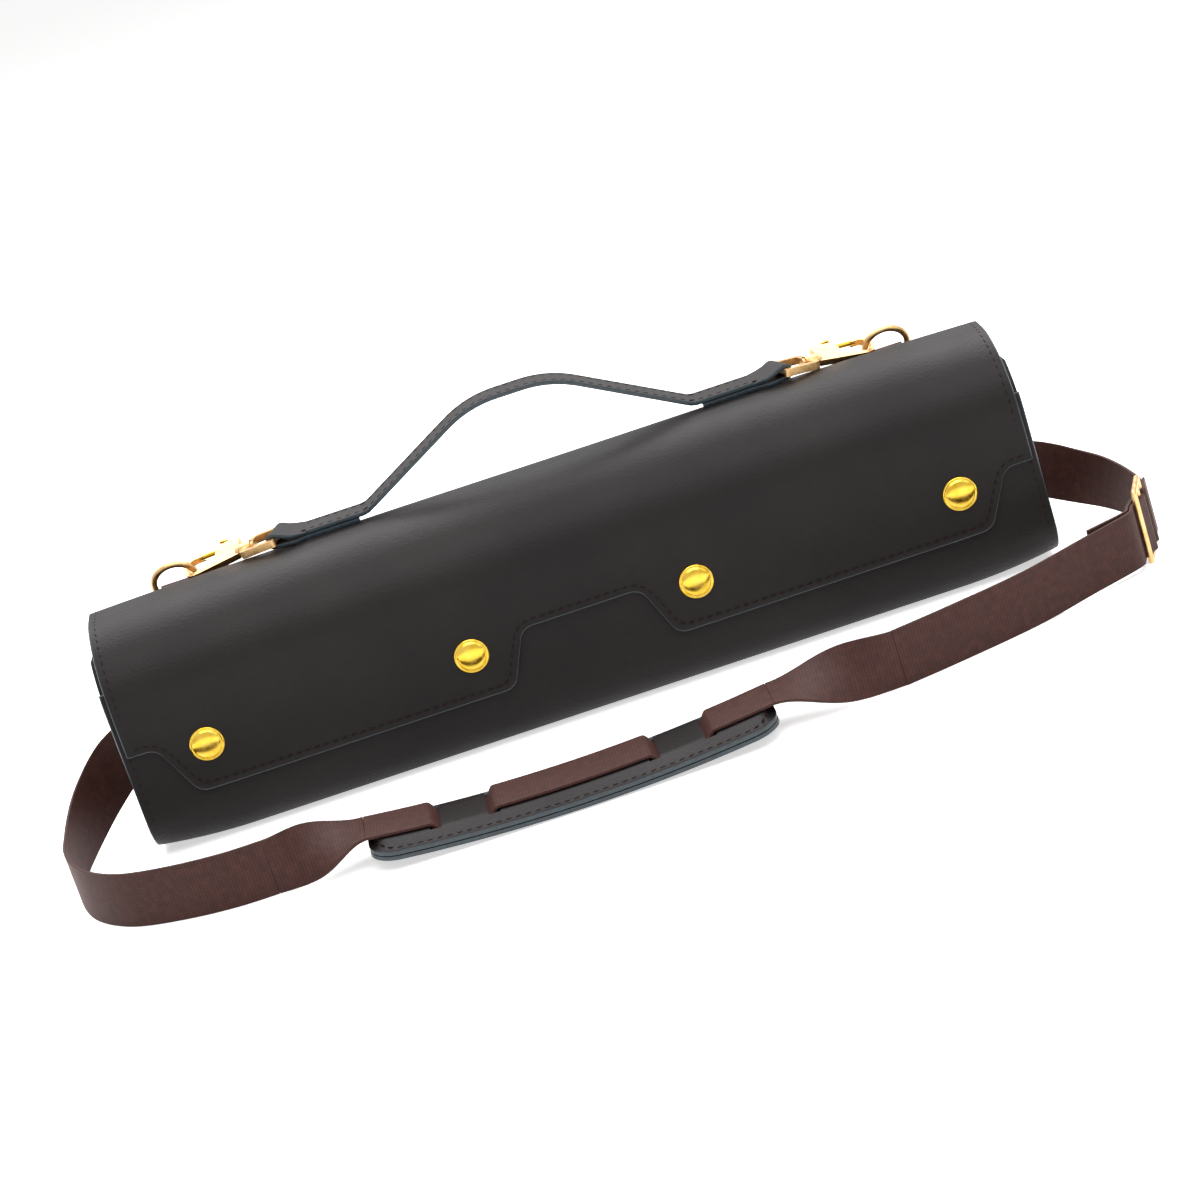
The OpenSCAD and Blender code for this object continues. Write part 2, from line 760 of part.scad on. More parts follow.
// Stretches that turn from upright to flat where they reach the pad
module strap_lead(x0, x1) {
    n = 16;
    y0 = run_y - web_t;
    way = sign(x1 - x0);
    a = x0 + way * web_gap;
    b = x1 - way * web_gap;
    middle = [for (i = [0 : n]) let (t = i / n, s = t * t * (3 - 2 * t))
        [a + (b - a) * t, y0 + (web_y - y0) * s,
            web_z + (web_top_z + pad_rise - web_z) * s]];
    across = [for (i = [0 : n]) let (t = i / n, s = t * t * (3 - 2 * t))
        [0, sin(90 * s), cos(90 * s)]];
    color(WEBBING) ribbon(middle, across, web_w, web_t);
}

// A place in the slide: along its crosswise line from the middle bar, and off to a side
function by_slide(along, side) =
    concat(slide_at + slide_dir * along + side_dir * side, [slide_web_z]);

// Half a turn round one of the slide's bars
function bar_turn(along, way) = [for (i = [0 : 8])
    by_slide(along + way * turn_r * sin(i * 22.5), turn_r * cos(i * 22.5))];

// Right run: from the pad to the slide, round its middle bar and back as a tail
module strap_right() {
    fold_l = slide_gap * 2.3;
    inner = -turn_r - 0.1;
    second = inner - web_t - 0.5;
    before = by_slide(-fold_l, inner);
    back = by_slide(-fold_l * 0.9, second);
    front = smooth([[right_run_x, run_y - web_t, web_z],
        [right_run_x + lead_l * 0.62, run_y * 0.953, web_z],
        [half_l - slide_out * 0.88, run_y * 0.85, web_z],
        [half_l, run_y * 0.74, (web_z + slide_web_z) / 2],
        before - [slide_out * 0.16, slide_out * 0.12, 0], before], 4);
    // Outwards through the near gap, round the middle bar and inwards again
    through = [by_slide(-slide_pitch - 0.8, inner), by_slide(0.9 - slide_pitch, inner + 0.2),
        by_slide(-0.9, turn_r - 0.2)];
    again = [by_slide(-slide_pitch * 0.42, second * 0.75), by_slide(-slide_pitch, second)];
    // The tail lies behind the run, on the side of the case
    away = smooth([back, back - [tail_l * 0.135, tail_l * 0.076, 0],
        back - [tail_l * 0.59, tail_l * 0.253, 0]], 3);
    middle = concat(front, through, bar_turn(0, 1), again, away);
    color(WEBBING) ribbon(middle, [for (m = middle) [0, 0, 1]], web_w, web_t);
}

// Rear run: sewn round the slide's far bar, round the right end and to the back
module strap_rear() {
    e = half_l;
    o = slide_out;
    sewn = slide_gap * 2;
    slope = [0.6, 0, 0.8];
    up = [0, 0, 1];
    tail = [by_slide(slide_pitch + sewn, web_t * 0.6), by_slide(slide_pitch + sewn / 2, web_t * 0.7)];
    stations = [
        by_slide(slide_pitch + sewn / 2, -web_t * 0.7), by_slide(slide_pitch + sewn, -web_t * 0.6),
        [e + o * 1.15, -half_d * 0.3, slide_web_z * 1.04], [e + o * 0.97, half_d * 0.25, web_z * 1.38],
        [e + o * 0.66, half_d * 0.75, web_z * 1.56], [e + o * 0.29, web_back_y, web_z * 1.95],
        [e - sewn_in * 0.16, web_back_y, web_z * 2.6],
        [e - sewn_in * 0.62, web_back_y, patch_right_z - sewn_in * 0.26],
        [e - sewn_in * 1.07, web_back_y, patch_right_z + sewn_in * 0.09]];
    across = [up, up, up, [0.1, 0, 1], [0.3, 0, 0.95], slope, slope, slope, slope];
    loop = concat(tail, bar_turn(slide_pitch, -1));
    color(WEBBING) ribbon(concat(loop, smooth(stations, 4)),
        concat([for (p = loop) up], smooth(across, 4)), web_w, web_t);
}

// Slide: an upright frame with a middle bar
module slide_frame() {
    r = slide_wire / 2;
    half_z = web_w / 2 + 2 + r;
    lift = half_z + r;
    color(PALE_GOLD) translate([slide_at[0], slide_at[1], lift])
        rotate([0, 0, atan2(slide_dir[1], slide_dir[0])]) {
            for (k = [-1 : 1]) translate([k * slide_pitch, 0, -half_z])
                cylinder(r = r, h = 2 * half_z);
            for (s = [-1, 1]) translate([-slide_pitch, 0, s * half_z]) rotate([0, 90, 0])
                cylinder(r = r, h = 2 * slide_pitch);
            for (k = [-1, 1], s = [-1, 1]) translate([k * slide_pitch, 0, s * half_z]) sphere(r);
        }
}

function patch_x(side) = side * (half_l - sewn_in) - (side > 0 ? 1 : -2) * web_t / 2;
function patch_z(side) = side > 0 ? patch_right_z : patch_left_z;

// Leather patch sewn over the end of the webbing on the back
module strap_patch(side) {
    h = min(patch_l, 2 * (fold_z - 1 - patch_z(side)));
    color(LEATHER) translate([patch_x(side) - patch_l / 2, patch_y, patch_z(side) - h / 2])
        cube([patch_l, leather, h]);
}

module patch_rivets() {
    color(GOLD) for (side = [-1, 1], k = [-1, 1])
        translate([patch_x(side) + k * patch_l / 3, patch_y + leather, patch_z(side)])
            rotate([-90, 0, 0]) cylinder(d = 6, h = 1.2);
}

// ---- shoulder pad --------------------------------------------------------

slot_xs = [pad_x0 + slot_outer, pad_x0 + slot_inner, pad_x1 - slot_inner,
    pad_x1 - slot_outer];

// Outline of the pad: a bar with rounded corners
module pad_2d(inset) {
    r = 12 - inset;
    translate([pad_x0 + inset, pad_y - pad_w / 2 + inset]) {
        l = pad_l - 2 * inset;
        w = pad_w - 2 * inset;
        translate([r, 0]) square([l - 2 * r, w]);
        translate([0, r]) square([l, w - 2 * r]);
        for (x = [r, l - r], y = [r, w - r]) translate([x, y]) circle(r);
    }
}

// How far the pad stands off the table at a place along it
function pad_lift(x) = pad_rise * pow((x - pad_x0 - pad_l / 2) / (pad_l / 2), 2);

// A layer of the pad between two heights, curved up towards its ends
module pad_layer(z0, z1, inset) {
    xs = [for (i = [0 : 12]) pad_x0 + pad_l * i / 12];
    intersection() {
        translate([0, pad_y + pad_w, 0]) rotate([90, 0, 0]) linear_extrude(2 * pad_w)
            polygon(concat([for (x = xs) [x, z0 + pad_lift(x)]],
                [for (i = [12 : -1 : 0]) [xs[i], z1 + pad_lift(xs[i])]]));
        translate([0, 0, -1]) linear_extrude(pad_t + pad_rise + 2) pad_2d(inset);
    }
}

module pad_base() {
    color(EDGE) pad_layer(0, pad_leather, 0);
}

// Foam, with a shallow channel for each hidden stretch of webbing
module pad_core() {
    depth = web_t + 2 * web_play;
    color(CLOTH) difference() {
        pad_layer(pad_leather, pad_t - pad_leather, 0.8);
        for (i = [0, 2]) intersection() {
            pad_layer(pad_t - pad_leather - depth, pad_t, 0);
            translate([slot_xs[i] - 5, web_y - web_w / 2 - 0.5, 0])
                cube([slot_inner - slot_outer + 10, web_w + 1, pad_t + pad_rise]);
        }
    }
}

module pad_top() {
    color(LEATHER) difference() {
        pad_layer(pad_t - pad_leather, pad_t, 0);
        for (x = slot_xs) translate([x - 4, web_y - web_w / 2 - 0.5, 0])
            cube([8, web_w + 1, pad_t + pad_rise + 1]);
    }
}

// Webbing threaded through the pad: over, under, over, under and over
module strap_pad_run() {
    dip = 3;
    n = 4;
    path = [for (k = [0 : 4], i = [0 : n])
        let (a = k == 0 ? pad_x0 : slot_xs[k - 1] + dip, b = k == 4 ? pad_x1 : slot_xs[k] - dip)
        let (x = a + (b - a) * i / n)
        [x, (k % 2 == 0 ? web_top_z : web_low_z) + pad_lift(x)]];
    color(WEBBING) translate([0, web_y + web_w / 2, 0]) rotate([90, 0, 0])
        linear_extrude(web_w) band(path, web_t);
}

body_shell();
gusset(-1);  // gusset_left
gusset(1);  // gusset_right
front_board();
bottom_board();
back_board();
lining();
end_lining(-1);  // end_lining_left
end_lining(1);  // end_lining_right
snap_studs();
snap_posts();
strap_left();
strap_right();
strap_rear();
slide_frame();
strap_patch(-1);  // strap_patch_left
strap_patch(1);  // strap_patch_right
patch_rivets();
flap();
flap_board();
flap_lining();
snap_caps();
snap_sockets();
ring_tab(-1);  // ring_tab_left
ring_tab(1);  // ring_tab_right
tab_rivets();
ring(-1);  // ring_left
ring(1);  // ring_right
handle_strap();
hook_eye(-1);  // hook_eye_left
hook_eye(1);  // hook_eye_right
hook(-1);  // hook_left
hook(1);  // hook_right
trigger(-1);  // trigger_left
trigger(1);  // trigger_right
pad_top();
pad_core();
pad_base();
strap_pad_run();
strap_lead(left_run_x, pad_x0);  // strap_lead_left
strap_lead(right_run_x, pad_x1);  // strap_lead_right
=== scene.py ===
# %% [markdown]
# # A leather flute case, dressed piece by piece
# The case is a long leather tray with a wrap-over flap. Four press-studs close it, a short
# strap handle hooks on to two rings, and a webbing shoulder strap with a sliding pad lies
# in front. The solid model arrives already in its place, so every piece below is made
# in the same metres and at the same spot, and nothing has to be fitted afterwards.

# %% The frame
import json
from math import asin, atan2, cos, degrees, hypot, pi, radians, sin, sqrt

import bpy
from mathutils import Matrix, Vector


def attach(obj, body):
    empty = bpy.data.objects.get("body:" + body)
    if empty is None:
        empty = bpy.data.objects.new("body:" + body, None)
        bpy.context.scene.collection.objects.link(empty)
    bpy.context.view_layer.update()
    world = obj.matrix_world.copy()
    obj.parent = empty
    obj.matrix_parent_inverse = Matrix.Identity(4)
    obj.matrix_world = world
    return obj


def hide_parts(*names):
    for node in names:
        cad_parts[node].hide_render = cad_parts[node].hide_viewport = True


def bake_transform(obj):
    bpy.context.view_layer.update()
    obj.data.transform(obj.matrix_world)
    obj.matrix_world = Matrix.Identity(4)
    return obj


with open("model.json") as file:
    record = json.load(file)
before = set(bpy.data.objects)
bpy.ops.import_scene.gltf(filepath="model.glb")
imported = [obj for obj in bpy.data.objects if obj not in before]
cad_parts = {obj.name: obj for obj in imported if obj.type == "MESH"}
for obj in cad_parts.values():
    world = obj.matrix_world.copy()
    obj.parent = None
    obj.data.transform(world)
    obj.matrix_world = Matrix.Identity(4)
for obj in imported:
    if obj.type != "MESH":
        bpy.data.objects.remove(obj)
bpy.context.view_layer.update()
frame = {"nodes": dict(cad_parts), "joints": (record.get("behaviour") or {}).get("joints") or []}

MM = 0.001

# %% [markdown]
# ## The camera
# The photograph looks along the case from a little above, and the whole case is tipped in
# the picture. Tipping the camera about its own line of sight gives the same picture and
# leaves the case standing on the table. The four caps were matched to their places in
# the photograph to find the numbers here.

# %% Camera
LOOK_AT = Vector((0, 0, 54)) * MM
DISTANCE = 1450 * MM
elevation, azimuth, roll = radians(18), radians(0.567), radians(18.179)
# the picture's side, the place of LOOK_AT in it and its scale there, in pixels
SIDE, SEEN_X, SEEN_Y, PIXELS_PER_MM = 1200, 571.64, 583.52, 2.252

ahead = Vector((sin(azimuth) * cos(elevation), cos(azimuth) * cos(elevation), -sin(elevation)))
level = Vector((cos(azimuth), -sin(azimuth), 0))
upward = level.cross(ahead)
right = level * cos(roll) - upward * sin(roll)
top = level * sin(roll) + upward * cos(roll)

eye = bpy.data.cameras.new("picture_camera")
camera = bpy.data.objects.new("picture_camera", eye)
bpy.context.scene.collection.objects.link(camera)
place = Matrix((right, top, -ahead)).transposed().to_4x4()
place.translation = LOOK_AT - ahead * DISTANCE
camera.matrix_world = place
eye.sensor_width = 36
eye.lens = eye.sensor_width * DISTANCE / (SIDE / PIXELS_PER_MM * MM)
eye.shift_x = (SIDE / 2 - SEEN_X) / SIDE
eye.shift_y = -(SIDE / 2 - SEEN_Y) / SIDE
eye.clip_start, eye.clip_end = 0.05, 20
bpy.context.scene.camera = camera
print("lens", round(eye.lens, 2), "mm")

# %% [markdown]
# ## Small helpers for finishes
# Colours are picked from a screen, so they are written as the usual hex values and turned
# to linear light by one function. Others add a shader node with its settings and links, and
# give the shader its colour, gloss and relief, so that a finish reads as a short list.


# %% Finish helpers
def paint(hex_value):
    parts = [int(hex_value[i:i + 2], 16) / 255 for i in (1, 3, 5)]
    return tuple(c / 12.92 if c < 0.04045 else ((c + 0.055) / 1.055) ** 2.4 for c in parts) + (1,)


def feed(tree, socket, value):
    if isinstance(value, bpy.types.NodeSocket):
        tree.links.new(value, socket)
    else:
        socket.default_value = value


def add(tree, kind, settings=None, **sockets):
    """i0, i1 and so on name a socket by its number, and other words by its title."""
    node = tree.nodes.new("ShaderNode" + kind)
    for name, value in (settings or {}).items():
        setattr(node, name, value)
    for name, value in sockets.items():
        by_number = name[0] == "i" and name[1:].isdigit()
        feed(tree, node.inputs[int(name[1:]) if by_number else name.replace("_", " ")], value)
    return node


def maths(tree, operation, *values):
    node = add(tree, "Math", {"operation": operation})
    for socket, value in zip(node.inputs, values):
        feed(tree, socket, value)
    return node.outputs[0]


def new_finish(name):
    finish = bpy.data.materials.new(name)
    finish.use_nodes = True
    shader = finish.node_tree.nodes["Principled BSDF"]
    return finish, finish.node_tree, shader


def ramp(tree, factor, stops):
    node = add(tree, "ValToRGB", Fac=factor)
    elements = node.color_ramp.elements
    while len(elements) < len(stops):
        elements.new(0.5)
    for element, (at, colour) in zip(elements, stops):
        element.position, element.color = at, paint(colour)
    return node.outputs["Color"]


def set_finish(tree, shader, strength, depth, height, **sockets):
    """The first three numbers are the relief's strength, its depth and its pattern."""
    bump = add(tree, "Bump", Strength=strength, Distance=depth, Height=height)
    for name, value in sockets.items():
        feed(tree, shader.inputs[name.replace("_", " ")], value)
    feed(tree, shader.inputs["Normal"], bump.outputs["Normal"])


# %% [markdown]
# ## Leather
# The case is cowhide with a smooth pigmented top coat in a very dark brown. Such leather has
# a fine pebble of about 1 mm, soft satin gloss, and slow shifts of colour where hands have
# polished it. Cells from a Voronoi pattern give the pebble, a slow noise the rest.

# %% Pigmented cowhide, satin finish
LEATHER, tree, shader = new_finish("cowhide_pigmented_satin")
here = add(tree, "TexCoord").outputs["Object"]
# one pebble per millimetre
pebble = add(tree, "TexVoronoi", {"feature": "SMOOTH_F1"}, Vector=here, Scale=950.0)
pores = add(tree, "TexNoise", Vector=here, Scale=2600.0, Detail=2.0)
# handling marks some 60 mm across
polish = add(tree, "TexNoise", Vector=here, Scale=16.0, Detail=3.0, Roughness=0.55)
gloss = add(tree, "MapRange", Value=polish.outputs["Fac"], From_Min=0.3, From_Max=0.7,
            To_Min=0.52, To_Max=0.44)
relief = add(tree, "MixRGB", {"blend_type": "ADD"}, Fac=0.35,
             Color1=pebble.outputs["Distance"], Color2=pores.outputs["Fac"])
set_finish(tree, shader, 0.75, 0.00018, relief.outputs["Color"],
           Base_Color=ramp(tree, polish.outputs["Fac"], [(0.3, "#171414"), (0.7, "#1F1B1B")]),
           Roughness=gloss.outputs["Result"], Specular_IOR_Level=0.19, IOR=1.46)
print(LEATHER.name)

# %% [markdown]
# ## Painted edge
# A cut leather edge shows pale fibres, so the maker rubs it round and paints it. The paint
# is a thick acrylic, blue-black here, glossier than the leather, with faint waves along it.

# %% Acrylic edge paint
EDGE_PAINT, tree, shader = new_finish("acrylic_edge_paint")
here = add(tree, "TexCoord").outputs["Object"]
waves = add(tree, "TexNoise", Vector=here, Scale=420.0, Detail=2.0)
set_finish(tree, shader, 0.3, 0.0002, waves.outputs["Fac"],
           Base_Color=ramp(tree, waves.outputs["Fac"], [(0.3, "#1A242A"), (0.7, "#26363E")]),
           Roughness=0.34, IOR=1.49)
print(EDGE_PAINT.name)

# %% [markdown]
# ## Webbing
# Harness webbing is woven nylon tape. Its face shows cross ribs, which real tape has
# every 0.8 mm. Here they stand 1.4 mm apart, because finer ones wouldn't show. The ribs
# follow the tape, so the pattern reads the piece's own UV map, laid out in millimetres.

# %% Woven nylon tape
RIB_PITCH = 1.4
# warp yarns run along the tape and cross over the ribs
WARP_PITCH = 1.6
WEBBING, tree, shader = new_finish("woven_nylon_tape")
flat = add(tree, "UVMap", {"uv_map": "tape"}).outputs["UV"]
axis = add(tree, "SeparateXYZ", Vector=flat)
along, across = axis.outputs["X"], axis.outputs["Y"]
rib = maths(tree, "SINE", maths(tree, "MULTIPLY", along, 2 * pi / RIB_PITCH))
warp = maths(tree, "SINE", maths(tree, "MULTIPLY", across, 2 * pi / WARP_PITCH))
weave = maths(tree, "MULTIPLY_ADD", rib, 0.13, 0.5)
weave = maths(tree, "MULTIPLY_ADD", warp, 0.05, weave)
here = add(tree, "TexCoord").outputs["Object"]
fuzz = add(tree, "TexNoise", Vector=here, Scale=300.0, Detail=3.0)
# half of the colour is the fuzz's random tone and half is the weave, so the hollows between the
# ribs and warp yarns get painted shade
fuzz_tone_and_rib_shade = maths(tree, "MULTIPLY_ADD", fuzz.outputs["Fac"], 0.5, maths(tree, "MULTIPLY", weave, 0.5))
set_finish(tree, shader, 0.5, 0.0002, weave,
           Base_Color=ramp(tree, fuzz_tone_and_rib_shade, [(0.25, "#24110E"), (0.5, "#371C17"), (0.75, "#4A2A24")]),
           Roughness=0.62, Specular_IOR_Level=0.25, Sheen_Weight=0.12, Sheen_Roughness=0.4,
           Sheen_Tint=paint("#9C6E68"))
print(WEBBING.name)

# %% [markdown]
# ## Lining, foam, board and thread
# The inside is a brushed cotton, the pad is filled with a closed-cell foam, the walls are
# stiffened with grey board, and the seams are sewn with a waxed polyester thread.

# %% Brushed cotton
LINING, tree, shader = new_finish("brushed_cotton_lining")
here = add(tree, "TexCoord").outputs["Object"]
nap = add(tree, "TexNoise", Vector=here, Scale=900.0, Detail=4.0, Roughness=0.7)
cloud = add(tree, "TexNoise", Vector=here, Scale=45.0, Detail=3.0)
mixed = add(tree, "MixRGB", {"blend_type": "MIX"}, Fac=0.5, Color1=nap.outputs["Fac"],
            Color2=cloud.outputs["Fac"])
set_finish(tree, shader, 0.6, 0.0003, nap.outputs["Fac"],
           Base_Color=ramp(tree, mixed.outputs["Color"], [(0.3, "#2C2726"), (0.7, "#453C3B")]),
           Roughness=0.9, Sheen_Weight=0.4)
print(LINING.name)

# %% Closed-cell foam and grey board
FOAM, tree, shader = new_finish("closed_cell_foam")
here = add(tree, "TexCoord").outputs["Object"]
cells = add(tree, "TexVoronoi", Vector=here, Scale=1400.0)
set_finish(tree, shader, 0.5, 0.0002, cells.outputs["Distance"],
           Base_Color=ramp(tree, cells.outputs["Distance"], [(0.0, "#1B1918"), (0.8, "#2C2827")]),
           Roughness=0.8)

BOARD, tree, shader = new_finish("pressed_grey_board")
here = add(tree, "TexCoord").outputs["Object"]
fibres = add(tree, "TexNoise", Vector=here, Scale=700.0, Detail=5.0, Distortion=1.5)
set_finish(tree, shader, 0.3, 0.0002, fibres.outputs["Fac"],
           Base_Color=ramp(tree, fibres.outputs["Fac"], [(0.3, "#77694F"), (0.7, "#988A70")]),
           Roughness=0.85)
print(FOAM.name, BOARD.name)

# %% Waxed polyester thread
THREAD, tree, shader = new_finish("waxed_polyester_thread")
here = add(tree, "TexCoord").outputs["Object"]
plies = add(tree, "TexWave", {"bands_direction": "DIAGONAL"}, Vector=here, Scale=900.0)
set_finish(tree, shader, 0.4, 0.0001, plies.outputs["Fac"],
           Base_Color=ramp(tree, plies.outputs["Fac"], [(0.2, "#150B0A"), (0.8, "#291715")]),
           Roughness=0.6, Specular_IOR_Level=0.1)
print(THREAD.name)

# %% [markdown]
# ## Metals
# The caps are stamped brass under a clear lacquer, bright and yellow. The hooks, rings and
# slide are cast zinc with a paler plating, polished by tumbling, so less even. The hidden
# halves of the studs are nickelled steel.


# %% Stamped brass, plated zinc, nickelled steel
def metal(name, dark, light, roughness, mark_scale, depth):
    finish, tree, shader = new_finish(name)
    here = add(tree, "TexCoord").outputs["Object"]
    marks = add(tree, "TexNoise", Vector=here, Scale=mark_scale, Detail=3.0)
    worn = add(tree, "MapRange", Value=marks.outputs["Fac"], From_Min=0.3, From_Max=0.7,
               To_Min=roughness * 0.8, To_Max=roughness * 1.25)
    set_finish(tree, shader, 0.25, depth, marks.outputs["Fac"],
               Base_Color=ramp(tree, marks.outputs["Fac"], [(0.3, dark), (0.7, light)]),
               Roughness=worn.outputs["Result"], Metallic=1)
    return finish


BRASS = metal("lacquered_stamped_brass", "#CFA62C", "#E3BE52", 0.2, 260.0, 0.00006)
ZINC = metal("plated_cast_zinc", "#CBA067", "#E4BE88", 0.36, 320.0, 0.0001)
STEEL = metal("nickelled_steel", "#A9A69C", "#C6C2B6", 0.3, 400.0, 0.00006)
print(BRASS.name, ZINC.name, STEEL.name)

# %% [markdown]
# ## Hardware that keeps its modelled shape
# Boards, studs, sockets, rivets, rings, eyes, hooks and the slide are already right, down to
# the bores, so they stay and only get their finish.

# %% Finishes on the solid hardware
HARDWARE = {
    BOARD: ["front_board", "bottom_board", "back_board", "flap_board"],
    STEEL: ["snap_studs", "snap_posts", "snap_sockets"],
    BRASS: ["tab_rivets", "patch_rivets", "trigger_left", "trigger_right"],
    ZINC: ["slide_frame", "ring_left", "ring_right", "hook_eye_left", "hook_eye_right",
           "hook_left", "hook_right"],
}
for finish, names in HARDWARE.items():
    for name in names:
        node = frame["nodes"][name]
        node.data.materials.clear()
        node.data.materials.append(finish)
print(sum(len(names) for names in HARDWARE.values()), "nodes dressed")

# %% [markdown]
# ## Small helpers for shapes
# Leather and tape are sheets. A grid is laid at once along a line and across a width, row
# by row, as a hide is laid over a last. Solidify then gives it its thickness and Bevel its
# rubbed edge. The UV map carries the real lengths in millimetres. Panels start as a filled
# outline, and openings are cut out of a sheet's faces.


# %% Shape helpers
def alone(obj=None):
    bpy.ops.object.select_all(action="DESELECT")
    if obj:
        obj.select_set(True)
        bpy.context.view_layer.objects.active = obj


def switch_to(mode):
    bpy.ops.object.mode_set(mode=mode)


def turn_over():
    """Turn every face of the object at hand to its other side."""
    switch_to("EDIT")
    bpy.ops.mesh.select_all(action="SELECT")
    bpy.ops.mesh.flip_normals()
    switch_to("OBJECT")


def select_nothing(kind):
    switch_to("EDIT")
    bpy.ops.mesh.select_mode(type=kind)
    bpy.ops.mesh.select_all(action="DESELECT")
    switch_to("OBJECT")


def cut_out(obj, unwanted):
    """Delete the faces for which unwanted(face) holds."""
    alone(obj)
    select_nothing("FACE")
    for face in obj.data.polygons:
        face.select = unwanted(face)
    switch_to("EDIT")
    bpy.ops.mesh.delete(type="FACE")
    bpy.ops.mesh.select_mode(type="VERT")
    switch_to("OBJECT")


def filled_outline(name, outline, where):
    """A circle bent to the outline, left in Edit Mode with all of it selected."""
    alone()
    bpy.ops.mesh.primitive_circle_add(vertices=len(outline), radius=1, fill_type="NGON")
    shape = bpy.context.object
    shape.name = shape.data.name = name
    for v, (y, z) in zip(shape.data.vertices, outline):
        v.co = Vector(where(y, z)) * MM
    switch_to("EDIT")
    bpy.ops.mesh.select_all(action="SELECT")
    return shape


def finish_with(obj, kind, **settings):
    alone(obj)
    modifier = obj.modifiers.new(kind.lower(), kind)
    for name, value in settings.items():
        setattr(modifier, name, value)
    bpy.ops.object.modifier_apply(modifier=modifier.name)


def lay_sheet(name, columns, rows, where, face_way, lengths=None, step=1):
    """The rows' places on the UV map are lengths, or else the rows' numbers times step."""
    nx, ny = len(columns) - 1, len(rows) - 1
    alone()
    bpy.ops.mesh.primitive_grid_add(x_subdivisions=nx, y_subdivisions=ny, size=2)
    sheet = bpy.context.object
    sheet.name = sheet.data.name = name
    mesh = sheet.data
    spot = {v.index: (round((v.co.x + 1) / 2 * nx), round((v.co.y + 1) / 2 * ny))
            for v in mesh.vertices}
    for v in mesh.vertices:
        i, j = spot[v.index]
        v.co = Vector(where(columns[i], rows[j])) * MM
    tape = mesh.uv_layers[0]
    tape.name = "tape"
    for loop in mesh.loops:
        i, j = spot[loop.vertex_index]
        tape.data[loop.index].uv = (lengths[j] if lengths else rows[j] * step, columns[i])
    mesh.update()
    middle = mesh.polygons[len(mesh.polygons) // 2]
    if middle.normal.dot(Vector(face_way)) < 0:
        turn_over()
    return sheet


def thicken(sheet, thickness, finishes, offset=-1.0, rub=0.35, rim=1, even_wall=True):
    sheet.data.materials.clear()
    for finish in finishes:
        sheet.data.materials.append(finish)
    finish_with(sheet, "SOLIDIFY", thickness=thickness * MM, offset=offset,
                use_even_offset=even_wall, use_quality_normals=True,
                material_offset_rim=rim if len(finishes) > 1 else 0)
    if rub:
        # the paint laps over the rubbed edge on to the face
        finish_with(sheet, "BEVEL", width=rub * MM, segments=2, limit_method="ANGLE",
                    angle_limit=radians(50), harden_normals=False,
                    material=rim if len(finishes) > 1 else -1)
    alone(sheet)
    bpy.ops.object.shade_smooth_by_angle(angle=radians(40))
    print(sheet.name, len(sheet.data.polygons), "faces")
    return sheet


def arc(cy, cz, r, start, stop, n=10):
    turn = [radians(start + (stop - start) * k / n) for k in range(n + 1)]
    return [(cy + r * cos(a), cz + r * sin(a)) for a in turn]


def even(path, step):
    marks = [0]
    for p, q in zip(path, path[1:]):
        marks.append(marks[-1] + sqrt(sum((b - a) ** 2 for a, b in zip(p, q))))
    n = max(2, round(marks[-1] / step))
    out, k = [], 0
    for i in range(n + 1):
        s = marks[-1] * i / n
        while k < len(marks) - 2 and marks[k + 1] < s:
            k += 1
        t = (s - marks[k]) / max(1e-9, marks[k + 1] - marks[k])
        out.append(tuple(a + (b - a) * t for a, b in zip(path[k], path[k + 1])))
    return out


def between(a, b, n):
    return [a + (b - a) * k / n for k in range(n + 1)]


# %% [markdown]
# ## The set of the leather
# Leather never stays a perfect extrusion. The ends of the case curl up a little under the
# boards, the top sags a touch at its ends, and the skin has slow, shallow waves. One
# function says how far any point of the outer leather has moved, so that the shell, the
# flap and their stitches all move together.

# %% How the leather has set
HALF_L, HALF_D, CASE_H, FOLD_Z = 210, 33, 108, 86
SKIN = 2.2
FLAP_HALF = 207.5
# the section's arcs, each with its centre's y and z and its radius
FRONT_YZ, FRONT_R = (2, 73), 35
BACK_YZ, BACK_R = (13, 88), 20
LOW_FRONT_YZ, LOW_BACK_YZ, LOW_R = (-12.5, 18), (15, 18), 18
# the tray's front and ends lie this far inside the flap's outer face
LAYER = 2.5
END_LIFT, END_SAG, WAVE = 4, 1.8, 0.22


def settled(x, y, z):
    end = max(0, abs(x) - 165) / 45
    low = max(0, 1 - z / 55)
    high = max(0, min(1, (z - 74) / 30))
    lift = END_LIFT * end * end * low
    sag = -END_SAG * (abs(x) / HALF_L) ** 4 * high
    wave = WAVE * sin(x / 31 + 0.8) * sin(z / 23 + y / 17) * min(1, high + 0.35)
    return (x, y, z + lift + sag + wave * high)


print("end lift", round(settled(HALF_L, 0, 0)[2], 2), "mm, end sag",
      round(settled(HALF_L, 0, CASE_H)[2] - CASE_H, 2))

# %% [markdown]
# ## The tray
# The tray is one hide bent round the boards: front wall, rounded bottom and back wall. Its
# section is drawn once as a line, and the sheet is laid along that line from end to end.


# %% Tray leather
def tray_line(inset, top, step):
    r = FRONT_R - LAYER - inset
    lean = 180 - degrees(asin((top - FRONT_YZ[1]) / r))
    low = LOW_R - inset
    return even(arc(*FRONT_YZ, r, lean, 180) + arc(*LOW_FRONT_YZ, low, 180, 270)
                + arc(*LOW_BACK_YZ, low, 270, 360) + [(HALF_D - inset, top)], step)


